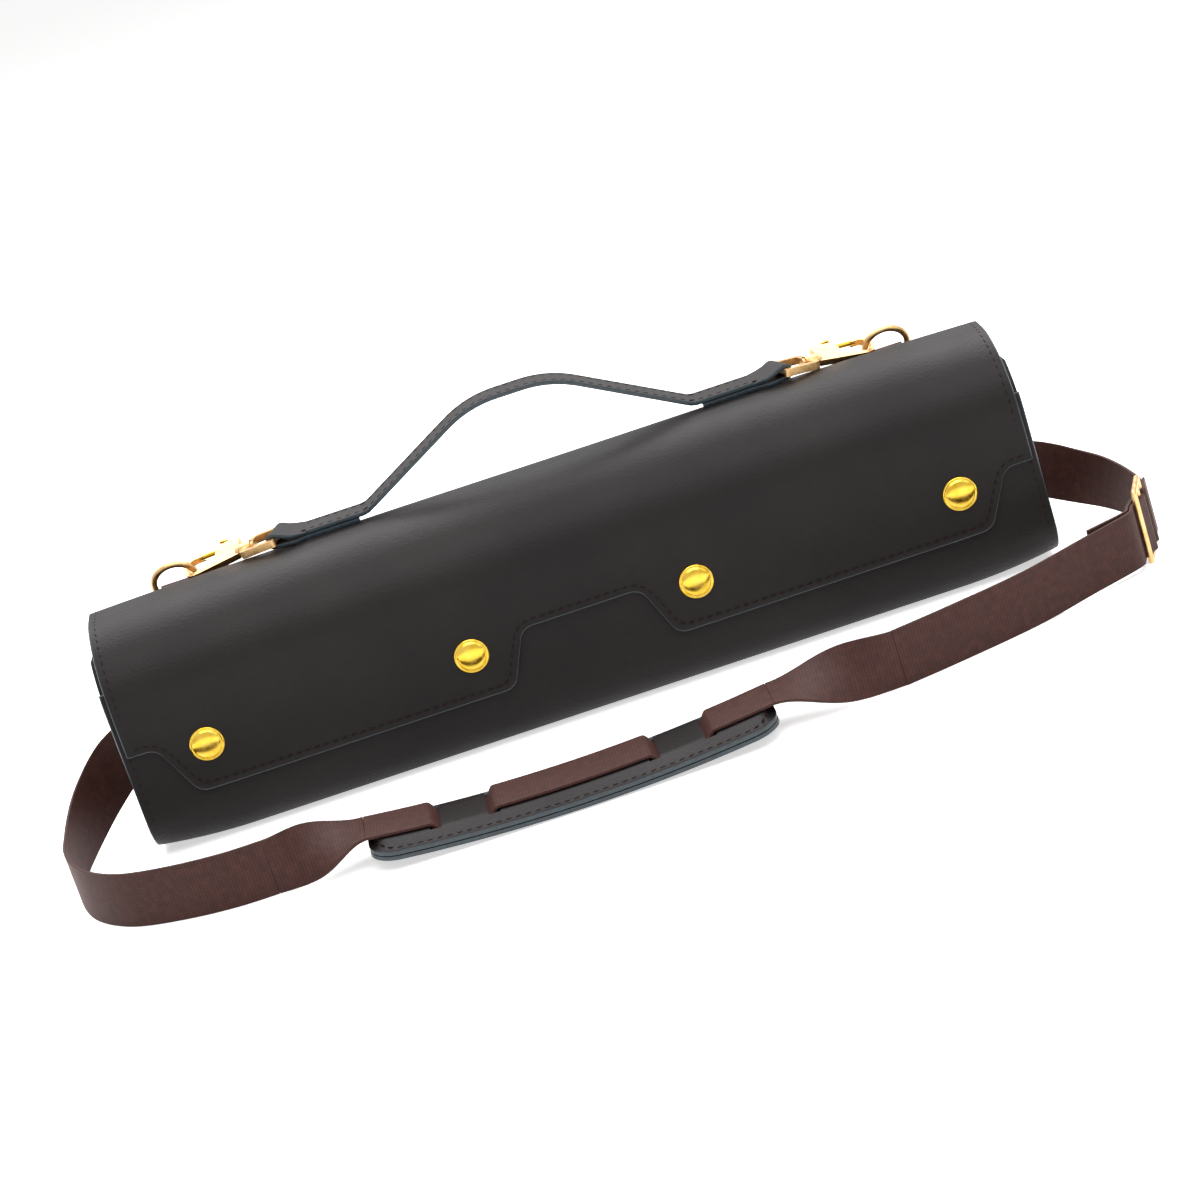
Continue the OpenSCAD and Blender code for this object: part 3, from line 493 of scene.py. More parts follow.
FOLD_LOW, FOLD_HIGH = 83, 89
ROW = 2.6
end_columns = [-210, -209.4, -207.8, -206] + between(-203, 203, 58) + [206, 207.8, 209.4, 210]
line = tray_line(0, FOLD_LOW, ROW)
tray = lay_sheet("tray_leather", end_columns, list(range(len(line))),
                 lambda x, k: settled(x, *line[k]), (0, 0, -1), step=ROW)
thicken(tray, SKIN, [LEATHER, EDGE_PAINT], rub=0.7)
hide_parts("body_shell")
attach(tray, "case")

# %% [markdown]
# ## The end panels
# Each end is closed by a stiff panel set 8 mm back, with a flange that is sewn to the tray.
# A filled circle is bent to the outline and pushed in for the recess, and its mouth is
# opened. Its floor is inset twice, so that the middle bellies out slightly, as stitched
# leather does over its board.


# %% End panels
def end_outline(inset):
    r, back, low = FRONT_R - LAYER - inset, BACK_R - LAYER - inset, LOW_R - inset
    return (arc(*BACK_YZ, back, 0, 90) + arc(*FRONT_YZ, r, 90, 180)
            + arc(*LOW_FRONT_YZ, low, 180, 270) + arc(*LOW_BACK_YZ, low, 270, 360))


PANEL_T = 2
# x of the flange's edge, of the floor's rim and of its bellied middle
MOUTH_X, RIM_X, FLOOR_X = 209.7, 202, 202.7
for side, word in ((-1, "left"), (1, "right")):
    section = end_outline(SKIN + PANEL_T + 0.05)
    # the flange steps back under the flap's end at the top
    panel = filled_outline(
        f"end_panel_{word}", even(section + section[:1], 4)[:-1],
        lambda y, z: settled(side * (MOUTH_X - 6.2 * min(1, max(0, (z - 95) / 6))), y, z))
    bpy.ops.mesh.extrude_region_move(TRANSFORM_OT_translate={"value": (-side * 6 * MM, 0, 0)})
    switch_to("OBJECT")
    for v in panel.data.vertices:
        if v.select:
            v.co.x = side * RIM_X * MM
    switch_to("EDIT")
    bpy.ops.mesh.inset(thickness=2.5 * MM)
    bpy.ops.mesh.inset(thickness=5 * MM)
    switch_to("OBJECT")
    for v in panel.data.vertices:
        if v.select:
            v.co.x = side * FLOOR_X * MM
    # the face first filled in closes the mouth of the recess, so it goes
    mouth = max((f for f in panel.data.polygons if not f.select), key=lambda f: f.area).index
    cut_out(panel, lambda f: f.index == mouth)
    switch_to("EDIT")
    bpy.ops.mesh.select_all(action="SELECT")
    bpy.ops.mesh.normals_make_consistent(inside=False)
    switch_to("OBJECT")
    if max(panel.data.polygons, key=lambda f: f.area).normal.x * side < 0:
        turn_over()
    thicken(panel, PANEL_T, [LEATHER, EDGE_PAINT], rub=0.3, even_wall=False)
    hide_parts(f"gusset_{word}")
    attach(panel, "case")

# %% [markdown]
# ## The lining
# The inside is lined with the cotton, laid along the same section a little further in, with
# a separate piece glued on each end.

# %% Lining of the tray and of its ends
CLOTH_ROW = 4
inner = tray_line(SKIN + 1.7, FOLD_Z - 2, CLOTH_ROW)
lining = lay_sheet("tray_lining", between(-198.6, 198.6, 48), list(range(len(inner))),
                   lambda x, k: (x, *inner[k]), (0, 0, -1), step=CLOTH_ROW)
thicken(lining, 0.7, [LINING], rub=0.15)
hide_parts("lining")
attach(lining, "case")

section = tray_line(SKIN + 1.9, FOLD_Z - 1.5, ROW)
for side, word in ((-1, "left"), (1, "right")):
    cloth = filled_outline(f"end_lining_{word}_cloth", even(section + section[:1], CLOTH_ROW)[:-1],
                           lambda y, z: (side * 199, y, z))
    bpy.ops.mesh.inset(thickness=3 * MM)
    bpy.ops.transform.translate(value=(-side * 0.3 * MM, 0, 0))
    switch_to("OBJECT")
    if cloth.data.polygons[0].normal.x * side > 0:
        turn_over()
    thicken(cloth, 0.6, [LINING], rub=0, even_wall=False)
    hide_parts(f"end_lining_{word}")
    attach(cloth, "case")

# %% [markdown]
# ## The flap
# The flap starts at the fold on the back, goes over the top and comes down the front to a
# cut edge with a raised notch in the middle and a step at each end. The edge is a line
# with rounded corners. Each column of the sheet ends on that line, so the cut is clean.


# %% Flap leather
def round_corners(points, r, n=6):
    out = [points[0]]
    for a, b, c in zip(points, points[1:], points[2:]):
        a, b, c = Vector(a), Vector(b), Vector(c)
        u, w = (a - b).normalized(), (c - b).normalized()
        half = u.angle(w) / 2
        middle = b + (u + w).normalized() * r / sin(half)
        start = b + u * r / (sin(half) / cos(half)) - middle
        stop = b + w * r / (sin(half) / cos(half)) - middle
        a0 = atan2(start.y, start.x)
        sweep = (atan2(stop.y, stop.x) - a0 + pi) % (2 * pi) - pi
        out += [tuple(middle + r * Vector((cos(a0 + sweep * k / n), sin(a0 + sweep * k / n))))
                for k in range(n + 1)]
    return out + [points[-1]]


EDGE_Z, NOTCH_Z, EDGE_CORNER_R = 27, 52, 7
# x of the edge's corners, from the middle notch outwards and past the flap's end
half_edge = [(27, NOTCH_Z), (37.5, EDGE_Z), (182.5, EDGE_Z), (194.5, NOTCH_Z), (213, NOTCH_Z)]
flap_edge = round_corners([(-x, z) for x, z in reversed(half_edge)] + half_edge, EDGE_CORNER_R)


def edge_height(x):
    for p, q in zip(flap_edge, flap_edge[1:]):
        if p[0] <= x <= q[0]:
            return p[1] + (q[1] - p[1]) * (x - p[0]) / max(1e-9, q[0] - p[0])
    return NOTCH_Z


corner_xs = [p[0] for p in flap_edge if abs(p[0]) < 206]
plain_xs = [x for x in between(-FLAP_HALF, FLAP_HALF, 70)
            if all(abs(x - c) > 1.5 for c in corner_xs)]
flap_columns = sorted(set(corner_xs + plain_xs + [-206.8, 206.8, -205.4, 205.4]))
over = even([(HALF_D, FOLD_HIGH)] + arc(*BACK_YZ, BACK_R, 3, 90)
            + arc(*FRONT_YZ, FRONT_R, 90, 180), ROW)
DROP_ROWS = 16
flap_rows = list(range(len(over) + DROP_ROWS))


def flap_point(x, k):
    if k < len(over):
        y, z = over[k]
    else:
        share = (k - len(over) + 1) / DROP_ROWS
        y, z = -HALF_D, FRONT_YZ[1] + (edge_height(x) - FRONT_YZ[1]) * share
        # the front hollows by half a millimetre between its curve and its edge
        y -= 0.5 * sin(pi * share)
    return settled(x, y, z)


flap = lay_sheet("flap_leather", flap_columns, flap_rows, flap_point, (0, 0, 1), step=ROW)
thicken(flap, SKIN, [LEATHER, EDGE_PAINT], rub=0.8)
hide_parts("flap")
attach(flap, "flap")

# %% [markdown]
# ## The fold
# The tray's back and the flap are one hide, and it bends where it leaves the back. That
# strip is its own piece here.

# %% Fold leather
fold_rows = between(FOLD_LOW, FOLD_HIGH, 12)
fold = lay_sheet("fold_leather", between(-FLAP_HALF, FLAP_HALF, 60), fold_rows,
                 lambda x, z: settled(x, HALF_D, z), (0, 1, 0))
thicken(fold, SKIN, [LEATHER, EDGE_PAINT], rub=0)
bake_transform(fold)

# %% Flap lining
# the cloth lies under the leather and the board
CLOTH_IN = 3.8
under = even([(HALF_D - CLOTH_IN, 89.5)] + arc(*BACK_YZ, BACK_R - CLOTH_IN, 5, 90)
             + arc(*FRONT_YZ, FRONT_R - CLOTH_IN, 90, 151), CLOTH_ROW)
flap_cloth = lay_sheet("flap_lining_cloth", between(-197.5, 197.5, 48), list(range(len(under))),
                       lambda x, k: (x, *under[k]), (0, 0, 1), step=CLOTH_ROW)
thicken(flap_cloth, 0.7, [LINING], rub=0.15)
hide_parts("flap_lining")
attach(flap_cloth, "flap")

# %% [markdown]
# ## The caps
# A press-stud's cap is a brass disc stamped into a low dome with a rolled rim. Half of its
# section is drawn as an edge and spun round its axis. One cap is made and copied.

# %% Press-stud caps
CAP_XS, CAP_Z = (-172.5, -51.5, 51.5, 172.5), 48
CAP_PROFILE = [(0, 2.7), (2.4, 2.62), (4.4, 2.35), (5.7, 1.95), (6.25, 1.6), (6.45, 1.25),
               (6.7, 1.2), (7.0, 1.42), (7.35, 1.45), (7.7, 1.1), (7.8, 0.6), (7.6, 0.05)]
alone()
bpy.ops.mesh.primitive_plane_add(size=1)
cap = bpy.context.object
switch_to("EDIT")
bpy.ops.mesh.select_all(action="SELECT")
bpy.ops.mesh.merge(type="CENTER")
for (r0, h0), (r1, h1) in zip(CAP_PROFILE, CAP_PROFILE[1:]):
    bpy.ops.mesh.extrude_region_move(
        TRANSFORM_OT_translate={"value": ((r1 - r0) * MM, -(h1 - h0) * MM, 0)})
bpy.ops.mesh.select_all(action="SELECT")
bpy.ops.mesh.spin(steps=48, angle=2 * pi, center=(0, 0, 0), axis=(0, 1, 0))
bpy.ops.mesh.select_all(action="SELECT")
bpy.ops.mesh.remove_doubles(threshold=0.00001)
bpy.ops.mesh.normals_make_consistent(inside=False)
switch_to("OBJECT")
cap.data.materials.append(BRASS)
bpy.ops.object.shade_smooth_by_angle(angle=radians(50))
for k, x in enumerate(CAP_XS):
    one = cap.copy()
    one.data = cap.data.copy()
    bpy.context.scene.collection.objects.link(one)
    one.name = one.data.name = f"stud_cap_{k + 1}"
    one.data.transform(Matrix.Translation(
        Vector((x, -HALF_D - CAP_PROFILE[0][1], CAP_Z)) * MM))
    if k == 0:
        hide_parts("snap_caps")
    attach(one, "flap")
bpy.data.objects.remove(cap)
print("4 caps")

# %% [markdown]
# ## Tape
# Every stretch of tape is laid in the same way: a line of middle points, and at each of them
# the direction of the tape's width. Nine columns across, closer near its two sides, keep
# the selvedges crisp.


# %% Tape helper
def spline(points, n):
    points = [Vector(p) for p in points]
    last = len(points) - 1
    out = []
    for i in range(last):
        a, b = points[max(0, i - 1)], points[i]
        c, d = points[i + 1], points[min(last, i + 2)]
        for k in range(n):
            t = k / n
            out.append(0.5 * (2 * b + (c - a) * t + (2 * a - 5 * b + 4 * c - d) * t * t
                              + (3 * b - a - 3 * c + d) * t ** 3))
    return out + [points[last]]


def lay_tape(name, middle, across, width, thickness, finishes=None, rub=0.3):
    middle, across = [Vector(p) for p in middle], [Vector(a) for a in across]
    last = len(middle) - 1
    wide, faces, marks = [], [], [0]
    for i in range(last + 1):
        way = (middle[min(last, i + 1)] - middle[max(0, i - 1)]).normalized()
        w = (across[i] - way * across[i].dot(way)).normalized()
        wide.append(w)
        faces.append(way.cross(w))
        if i:
            marks.append(marks[-1] + (middle[i] - middle[i - 1]).length)
    half = width / 2
    columns = [-half, -half * 0.97, -half * 0.88, -half * 0.5, 0, half * 0.5, half * 0.88,
               half * 0.97, half]
    tape = lay_sheet(name, columns, list(range(last + 1)),
                     lambda c, k: middle[k] + wide[k] * c, faces[(last + 1) // 2],
                     lengths=marks)
    return thicken(tape, thickness, finishes or [WEBBING], offset=0.0, rub=rub)


WEB_W, WEB_T = 25, 1.5
# the woven tape is drawn a little thinner than its space
TAPE_T = WEB_T - 0.1
WEB_Z, BACK_Y = 12.7, 33.78
RUN_Y, RUN_LEFT, RUN_RIGHT = -106, -157, 119
SLIDE_Z, LEFT_TURN, SLIDE_OUT, SEWN_IN, LEAD = 15.3, 36, 33.5, 45, 42
SLIDE = Vector((HALF_L + SLIDE_OUT, RUN_Y / 2, SLIDE_Z))
SLIDE_WAY = Vector((0.35, 1, 0)).normalized()
SLIDE_SIDE = Vector((SLIDE_WAY.y, -SLIDE_WAY.x, 0))
UP = (0, 0, 1)
print("slide at", [round(c, 1) for c in SLIDE])

# %% [markdown]
# ## The left run
# The strap's left end is sewn to the back of the tray. It comes round the end, stands on its
# edge on the table and runs in front to the pad.

# %% Left run
e, o = HALF_L, LEFT_TURN
slope = (-0.64, 0, 0.77)
stations = [(-e + SEWN_IN, BACK_Y, FOLD_Z - SEWN_IN * 0.36),
            (-e + SEWN_IN / 2, BACK_Y, FOLD_Z - SEWN_IN * 0.72),
            (-e + o * 0.05, BACK_Y, WEB_Z * 3), (-e - o * 0.3, BACK_Y, WEB_Z * 2.4),
            (-e - o * 0.64, HALF_D * 0.72, WEB_Z * 1.7),
            (-e - o * 0.88, HALF_D * 0.15, WEB_Z * 1.2),
            (-e - o, RUN_Y * 0.21, WEB_Z), (-e - o * 0.97, RUN_Y * 0.45, WEB_Z),
            (-e - o * 0.75, RUN_Y * 0.68, WEB_Z), (-e - o * 0.3, RUN_Y * 0.86, WEB_Z),
            (-e + o / 3, RUN_Y * 0.96, WEB_Z),
            (RUN_LEFT - LEAD * 0.43, RUN_Y - WEB_T * 0.7, WEB_Z),
            (RUN_LEFT, RUN_Y - WEB_T, WEB_Z)]
widths = [slope] * 4 + [(-0.42, -0.1, 0.9), (-0.18, 0, 1)] + [UP] * 7
left_run = lay_tape("strap_left_tape", spline(stations, 6), spline(widths, 6), WEB_W, TAPE_T)
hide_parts("strap_left")
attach(left_run, "case")

# %% [markdown]
# ## The right run and the slide
# From the pad the tape comes to the slide's inner side, goes out round its middle bar and
# back in, and ends as a short tail behind the run. The rear run is sewn round the slide's
# far bar and goes to the back.


# %% Right run and rear run
def by_slide(along_it, off):
    return SLIDE + SLIDE_WAY * along_it + SLIDE_SIDE * off


def bar_turn(along_it, way, r=2.2):
    return [by_slide(along_it + way * r * sin(radians(a)), r * cos(radians(a)))
            for a in range(0, 181, 15)]


INNER, SECOND, PITCH_BAR = -2.3, -4.3, 9.6
before, back = by_slide(-16.1, INNER), by_slide(-14.5, SECOND)
front = spline([(RUN_RIGHT, RUN_Y - WEB_T, WEB_Z), (RUN_RIGHT + LEAD * 0.62, RUN_Y * 0.953, WEB_Z),
                (HALF_L - SLIDE_OUT * 0.88, RUN_Y * 0.85, WEB_Z),
                (HALF_L, RUN_Y * 0.74, (WEB_Z + SLIDE_Z) / 2),
                before - Vector((5.4, 4, 0)), before], 6)
through = [by_slide(-PITCH_BAR - 0.8, INNER), by_slide(0.9 - PITCH_BAR, INNER + 0.2),
           by_slide(-0.9, 2.0)]
again = [by_slide(-PITCH_BAR * 0.42, SECOND * 0.75), by_slide(-PITCH_BAR, SECOND)]
tail = spline([back, back - Vector((4.6, 2.6, 0)), back - Vector((20, 8.6, 0))], 5)
middle = front + through + bar_turn(0, 1) + again + tail
right_run = lay_tape("strap_right_tape", middle, [UP] * len(middle), WEB_W, TAPE_T)
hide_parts("strap_right")
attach(right_run, "case")

o, far, sewn = SLIDE_OUT, PITCH_BAR, 14
lean, rear_z = (0.6, 0, 0.8), 59.9
stations = [by_slide(far + sewn / 2, -1.05), by_slide(far + sewn, -0.9),
            (e + o * 1.15, -HALF_D * 0.3, SLIDE_Z * 1.04),
            (e + o * 0.97, HALF_D * 0.25, WEB_Z * 1.38),
            (e + o * 0.66, HALF_D * 0.75, WEB_Z * 1.56), (e + o * 0.29, BACK_Y, WEB_Z * 1.95),
            (e - SEWN_IN * 0.16, BACK_Y, WEB_Z * 2.6),
            (e - SEWN_IN * 0.62, BACK_Y, rear_z - SEWN_IN * 0.26),
            (e - SEWN_IN * 1.07, BACK_Y, rear_z + SEWN_IN * 0.09)]
widths = [UP] * 3 + [(0.1, 0, 1), (0.3, 0, 0.95)] + [lean] * 4
loop = [by_slide(far + sewn, 0.9), by_slide(far + sewn / 2, 1.05)] + bar_turn(far, -1)
rear_run = lay_tape("strap_rear_tape", loop + spline(stations, 6),
                    [Vector(UP)] * len(loop) + spline(widths, 6), WEB_W, TAPE_T)
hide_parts("strap_rear")
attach(rear_run, "case")

# %% [markdown]
# ## The leads and the run through the pad
# Between the upright runs and the flat pad the tape turns through a quarter. The pad can
# slide, and each lead reaches from the run along the case at one end to the pad at the other.

# %% Leads and pad run
PAD_L, PAD_R, PAD_Y, PAD_T, PAD_HALF = -115, 63, -106.5, 8.2, 20
PAD_SKIN, PAD_RISE, PAD_CORNER_R = 1.8, 5.5, 12
TAPE_Y, TOP_Z, LOW_Z = PAD_Y + 1.5, 9.25, 5.35


def ease(t):
    return t * t * (3 - 2 * t)


def pad_lift(x):
    """The tape draws the pad's two ends up off the table."""
    middle_x, half = (PAD_L + PAD_R) / 2, (PAD_R - PAD_L) / 2
    return PAD_RISE * ((x - middle_x) / half) ** 2


for word, x0, x1 in (("left", RUN_LEFT, PAD_L), ("right", RUN_RIGHT, PAD_R)):
    middle, widths = [], []
    for t in between(0, 1, 24):
        s = ease(t)
        middle.append((x0 + (x1 - x0) * t, RUN_Y - WEB_T + (TAPE_Y - RUN_Y + WEB_T) * s,
                       WEB_Z + (TOP_Z + PAD_RISE - WEB_Z) * s))
        widths.append((0, sin(pi / 2 * s), cos(pi / 2 * s)))
    lead = lay_tape(f"strap_lead_{word}_tape", middle, widths, WEB_W, TAPE_T)
    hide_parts(f"strap_lead_{word}")
    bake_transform(lead)

SLOTS = [PAD_L + 29, PAD_L + 54, PAD_R - 54, PAD_R - 29]
stations, high = [(PAD_L, TAPE_Y, TOP_Z)], True
for x in SLOTS:
    stations += [(x - 1.5, TAPE_Y, TOP_Z if high else LOW_Z),
                 (x + 1.5, TAPE_Y, LOW_Z if high else TOP_Z)]
    high = not high
stations.append((PAD_R, TAPE_Y, TOP_Z))
middle = [(x, y, z + pad_lift(x)) for x, y, z in even(stations, 1.0)]
pad_run = lay_tape("strap_pad_tape", middle, [(0, 1, 0)] * len(middle), WEB_W, TAPE_T)
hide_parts("strap_pad_run")
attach(pad_run, "shoulder_pad")

# %% [markdown]
# ## The pad
# The pad is a bar of foam between two leathers with painted edges. The upper leather is
# crowned over the foam and drawn down where it is sewn, and has four slots for the tape.


# %% Shoulder pad
def half_width(x, inset=0):
    d = min(x - PAD_L - inset, PAD_R - inset - x)
    r = PAD_CORNER_R - inset
    if d >= r:
        return PAD_HALF - inset
    return PAD_HALF - inset - r + sqrt(max(0, r * r - (r - d) ** 2))


def bar_columns(inset):
    ends = [0, 0.15, 0.6, 1.3, 2.3, 3.6, 5.2, 7, 9, 11.5]
    lo, hi = PAD_L + inset, PAD_R - inset
    xs = [lo + d for d in ends] + [hi - d for d in ends]
    slot_xs = [x + s * SLOT_HALF for x in SLOTS for s in (-1, 1)]
    return sorted(set(xs + slot_xs + [x for x in between(lo + 14, hi - 14, 34)
                                      if all(abs(x - c) > 1.6 for c in slot_xs)]))


SLOT_HALF, SLOT_REACH = 2.5, 13.2
HALF_ACROSS = [0.22, 0.45, 0.65, 0.84, 0.9, 0.95, 0.985, 1]
ACROSS = [-v for v in reversed(HALF_ACROSS)] + [0] + HALF_ACROSS


def drawn_in(x, v):
    """0 over the foam, 1 at the sewn rim, where the two leathers come together."""
    to_rim = max((abs(v) - 0.7) / 0.16, 1 - (min(x - PAD_L, PAD_R - x) - 2.5) / 3.2)
    return ease(min(1, max(0, to_rim)))


def pad_crown(x, v):
    return PAD_T - 0.4 + 0.3 * (1 - v * v) - 2.9 * drawn_in(x, v) + pad_lift(x)


def pad_y(x, v):
    return PAD_Y + v * half_width(x)


cover = lay_sheet("shoulder_pad_cover", ACROSS, bar_columns(0),
                  lambda v, x: (x, pad_y(x, v), pad_crown(x, v)), (0, 0, 1))
cut_out(cover, lambda f: abs(f.center.y / MM - TAPE_Y) < SLOT_REACH
        and any(abs(f.center.x / MM - x) < SLOT_HALF - 0.1 for x in SLOTS))
thicken(cover, PAD_SKIN, [LEATHER, EDGE_PAINT], rub=0.4, even_wall=False)
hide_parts("pad_top")
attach(cover, "shoulder_pad")

core = lay_sheet("shoulder_pad_foam", [v for v in ACROSS if abs(v) < 0.98], bar_columns(5),
                 lambda v, x: (x, PAD_Y + v * half_width(x, 5) * 0.93,
                               PAD_T - 2.2 + pad_lift(x)), (0, 0, 1))
thicken(core, 4, [FOAM], rub=0.8, even_wall=False)
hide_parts("pad_core")
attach(core, "shoulder_pad")

base = lay_sheet("shoulder_pad_base", ACROSS, bar_columns(0),
                 lambda v, x: (x, pad_y(x, v), PAD_SKIN + 0.9 * drawn_in(x, v) + pad_lift(x)),
                 (0, 0, 1))
thicken(base, PAD_SKIN, [LEATHER, EDGE_PAINT], rub=0.4, even_wall=False)
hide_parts("pad_base")
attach(base, "shoulder_pad")

# %% [markdown]
# ## The handle
# The handle is one leather strap that rises in an arch, lies flat at its ends, goes round the
# bar of each eye and comes back underneath. It is laid like the tape, but thicker.

# %% Handle
HANDLE_Y, HANDLE_W, HANDLE_T = 19, 15, 2
EYE = Vector((117, HANDLE_Y, 112.1))
hook = [j for j in frame["joints"] if j["name"] == "hook_right_swivel"][0]["axis"]
hook = [c if hook[0] > 0 else -c for c in hook]
pull_yaw = atan2(hook[1], hook[0])
LOW_RUN = CASE_H + 0.3 + HANDLE_T * 1.5 + 0.15
PEAK_X, PEAK_Z, FOOT_X = 19, 143, 76
# half of the arch: a wide bend at the peak and a tight one at the foot of the slope
slope_z = PEAK_Z - (40 - PEAK_X) * (PEAK_Z - LOW_RUN) / (FOOT_X - PEAK_X)
crown = round_corners([(0, PEAK_Z), (PEAK_X, PEAK_Z), (FOOT_X, LOW_RUN)], 50, 16)
foot = round_corners([(40, slope_z), (FOOT_X, LOW_RUN), (106, LOW_RUN)], 8, 8)
half_arch = [p for p in crown if p[0] < 60] + [p for p in foot if p[0] > 62]
flat_line = [Vector((x, HANDLE_Y, z)) for x, z in even([tuple(p) for p in half_arch], ROW)]
turn = Matrix.Rotation(pull_yaw, 3, "Z")
LOOP_R = 2.65
ring = [EYE + turn @ Vector((LOOP_R * sin(radians(a)), 0, LOOP_R * cos(radians(a))))
        for a in range(-20, 181, 20)]
rise = [EYE + turn @ Vector((-6.2, 0, 0.9))]
under_run = [EYE + turn @ Vector((-d, 0, -LOOP_R)) for d in (3, 6)] \
    + [Vector((x, HANDLE_Y, CASE_H + 0.35 + HANDLE_T / 2)) for x in (104, 98, 92, 86, 80)]
right_half = flat_line + rise + ring + under_run
yaw_of = [0] * (len(flat_line) - 3) + [0.35, 0.7, 0.9] + [1] * (len(rise) + len(ring) + 1) \
    + [0.9, 0.35] + [0] * 4
widths = [Vector((-sin(pull_yaw * s), cos(pull_yaw * s), 0)) for s in yaw_of]
mirrored = [Vector((-p.x, p.y, p.z)) for p in right_half[:0:-1]]
mirrored_widths = [Vector((-w.x, w.y, w.z)) for w in widths[:0:-1]]
handle_line, handle_widths = mirrored + right_half, mirrored_widths + widths
handle = lay_tape("handle_leather", handle_line, handle_widths,
                  HANDLE_W, HANDLE_T - 0.15, [LEATHER, EDGE_PAINT], rub=0.5)
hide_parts("handle_strap")
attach(handle, "handle")

# %% [markdown]
# ## The ring tabs
# Each ring hangs in a short loop of the same tape, riveted to the back of the flap.

# %% Ring tabs
RING_X, RING_YZ, TAB_R = 168, (36.15, 99), 2.4
line = ([(33.8, 87), (33.8, 91), (33.8, 96)] + arc(*RING_YZ, TAB_R, 190, -30, 11)
        + [(35.6, 96), (35.35, 93), (35.35, 89)])
for side, word in ((-1, "left"), (1, "right")):
    middle = [(side * RING_X, y, z) for y, z in line]
    tab = lay_tape(f"ring_tab_{word}_tape", middle, [(1, 0, 0)] * len(middle), 15, 1.4)
    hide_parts(f"ring_tab_{word}")
    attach(tab, "flap")

# %% [markdown]
# ## The patches
# The sewn ends of the strap are covered by square leather patches. Each starts as a slab,
# gets rounded corners, and its face is inset and pressed down along the stitch line.

# %% Patches
PATCHES = (("left", -163.5, 67.1), ("right", 164.25, rear_z))
PATCH_W, PATCH_T = 32, 2.0


def patch_height(pz):
    return min(PATCH_W, 2 * (FOLD_Z - 1 - pz))


for word, px, pz in PATCHES:
    alone()
    bpy.ops.mesh.primitive_cube_add(size=1)
    patch = bpy.context.object
    patch.name = patch.data.name = f"strap_patch_{word}_leather"
    patch.data.transform(Matrix.Diagonal((PATCH_W * MM, PATCH_T * MM, patch_height(pz) * MM, 1)))
    patch.data.transform(Matrix.Translation(Vector((px, 34.6 + PATCH_T / 2, pz)) * MM))
    select_nothing("EDGE")
    for edge in patch.data.edges:
        a, b = (patch.data.vertices[i].co for i in edge.vertices)
        edge.select = abs(a.y - b.y) > 0.001
    switch_to("EDIT")
    bpy.ops.mesh.bevel(offset=4 * MM, segments=6)
    select_nothing("FACE")
    max(patch.data.polygons, key=lambda f: f.center.y * 1000 + f.area).select = True
    switch_to("EDIT")
    bpy.ops.mesh.inset(thickness=2.6 * MM)
    bpy.ops.mesh.inset(thickness=0.8 * MM, depth=-0.35 * MM)
    bpy.ops.mesh.inset(thickness=0.8 * MM, depth=0.35 * MM)
    bpy.ops.mesh.select_mode(type="VERT")
    switch_to("OBJECT")
    patch.data.materials.append(LEATHER)
    finish_with(patch, "BEVEL", width=0.35 * MM, segments=2, limit_method="ANGLE",
                angle_limit=radians(50))
    alone(patch)
    bpy.ops.object.shade_smooth_by_angle(angle=radians(40))
    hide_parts(f"strap_patch_{word}")
    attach(patch, "case")
print("2 patches")

# %% [markdown]
# ## The stitching
# The seams are saddle-stitched: short, fat stitches with a hole between each two, about
# 4.2 mm apart and 3.3 mm from the edge. One stitch is made from a ball drawn out along its
# length. It is copied to every place of a seam, and a seam's stitches are joined.

# %% One stitch
alone()
bpy.ops.mesh.primitive_uv_sphere_add(segments=8, ring_count=5, radius=1)
stitch = bpy.context.object
switch_to("EDIT")
bpy.ops.mesh.select_all(action="SELECT")
bpy.ops.transform.rotate(value=pi / 2, orient_axis="Y", center_override=(0, 0, 0))
bpy.ops.transform.resize(value=(1.35 * MM, 0.46 * MM, 0.3 * MM))
switch_to("OBJECT")
stitch.data.materials.append(THREAD)
bpy.ops.object.shade_smooth()
PITCH, IN = 4.2, 3.3


def sew(name, path, facing, body, sink=0.12):
    spots = even([tuple(p) for p in path], PITCH)
    alone()
    made = []
    for k, (p, q) in enumerate(zip(spots, spots[1:])):
        p, q = Vector(p), Vector(q)
        along_it, out = (q - p).normalized(), Vector(facing((p + q) / 2)).normalized()
        sideways = out.cross(along_it).normalized()
        out = along_it.cross(sideways)
        # saddle stitches lean a few degrees off the line
        along_it = (along_it + sideways * 0.1).normalized()
        sideways = out.cross(along_it)
        one = stitch.copy()
        one.data = stitch.data.copy()
        spot = Matrix((along_it, sideways, out)).transposed().to_4x4()
        spot.translation = ((p + q) / 2 - out * sink) * MM
        one.data.transform(spot)
        bpy.context.scene.collection.objects.link(one)
        made.append(one)
    for one in made:
        one.select_set(True)
    bpy.context.view_layer.objects.active = made[0]
    bpy.ops.object.join()
    seam = bpy.context.object
    seam.name = seam.data.name = name
    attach(seam, body)
    print(name, len(made), "stitches")


print(stitch.name, len(stitch.data.polygons), "faces a stitch")


# %% Seams of the flap
def flap_skin(x, s):
    """A place on the flap's outside, s mm along its section from the fold."""
    marks = 0
    path = ([(HALF_D, FOLD_HIGH)] + arc(*BACK_YZ, BACK_R, 3, 90, 20)
            + arc(*FRONT_YZ, FRONT_R, 90, 180, 30) + [(-HALF_D, 20)])
    for p, q in zip(path, path[1:]):
        d = hypot(q[0] - p[0], q[1] - p[1])
        if marks + d >= s:
            t = (s - marks) / d
            return (x, p[0] + (q[0] - p[0]) * t, p[1] + (q[1] - p[1]) * t)
        marks += d
    return (x, *path[-1])


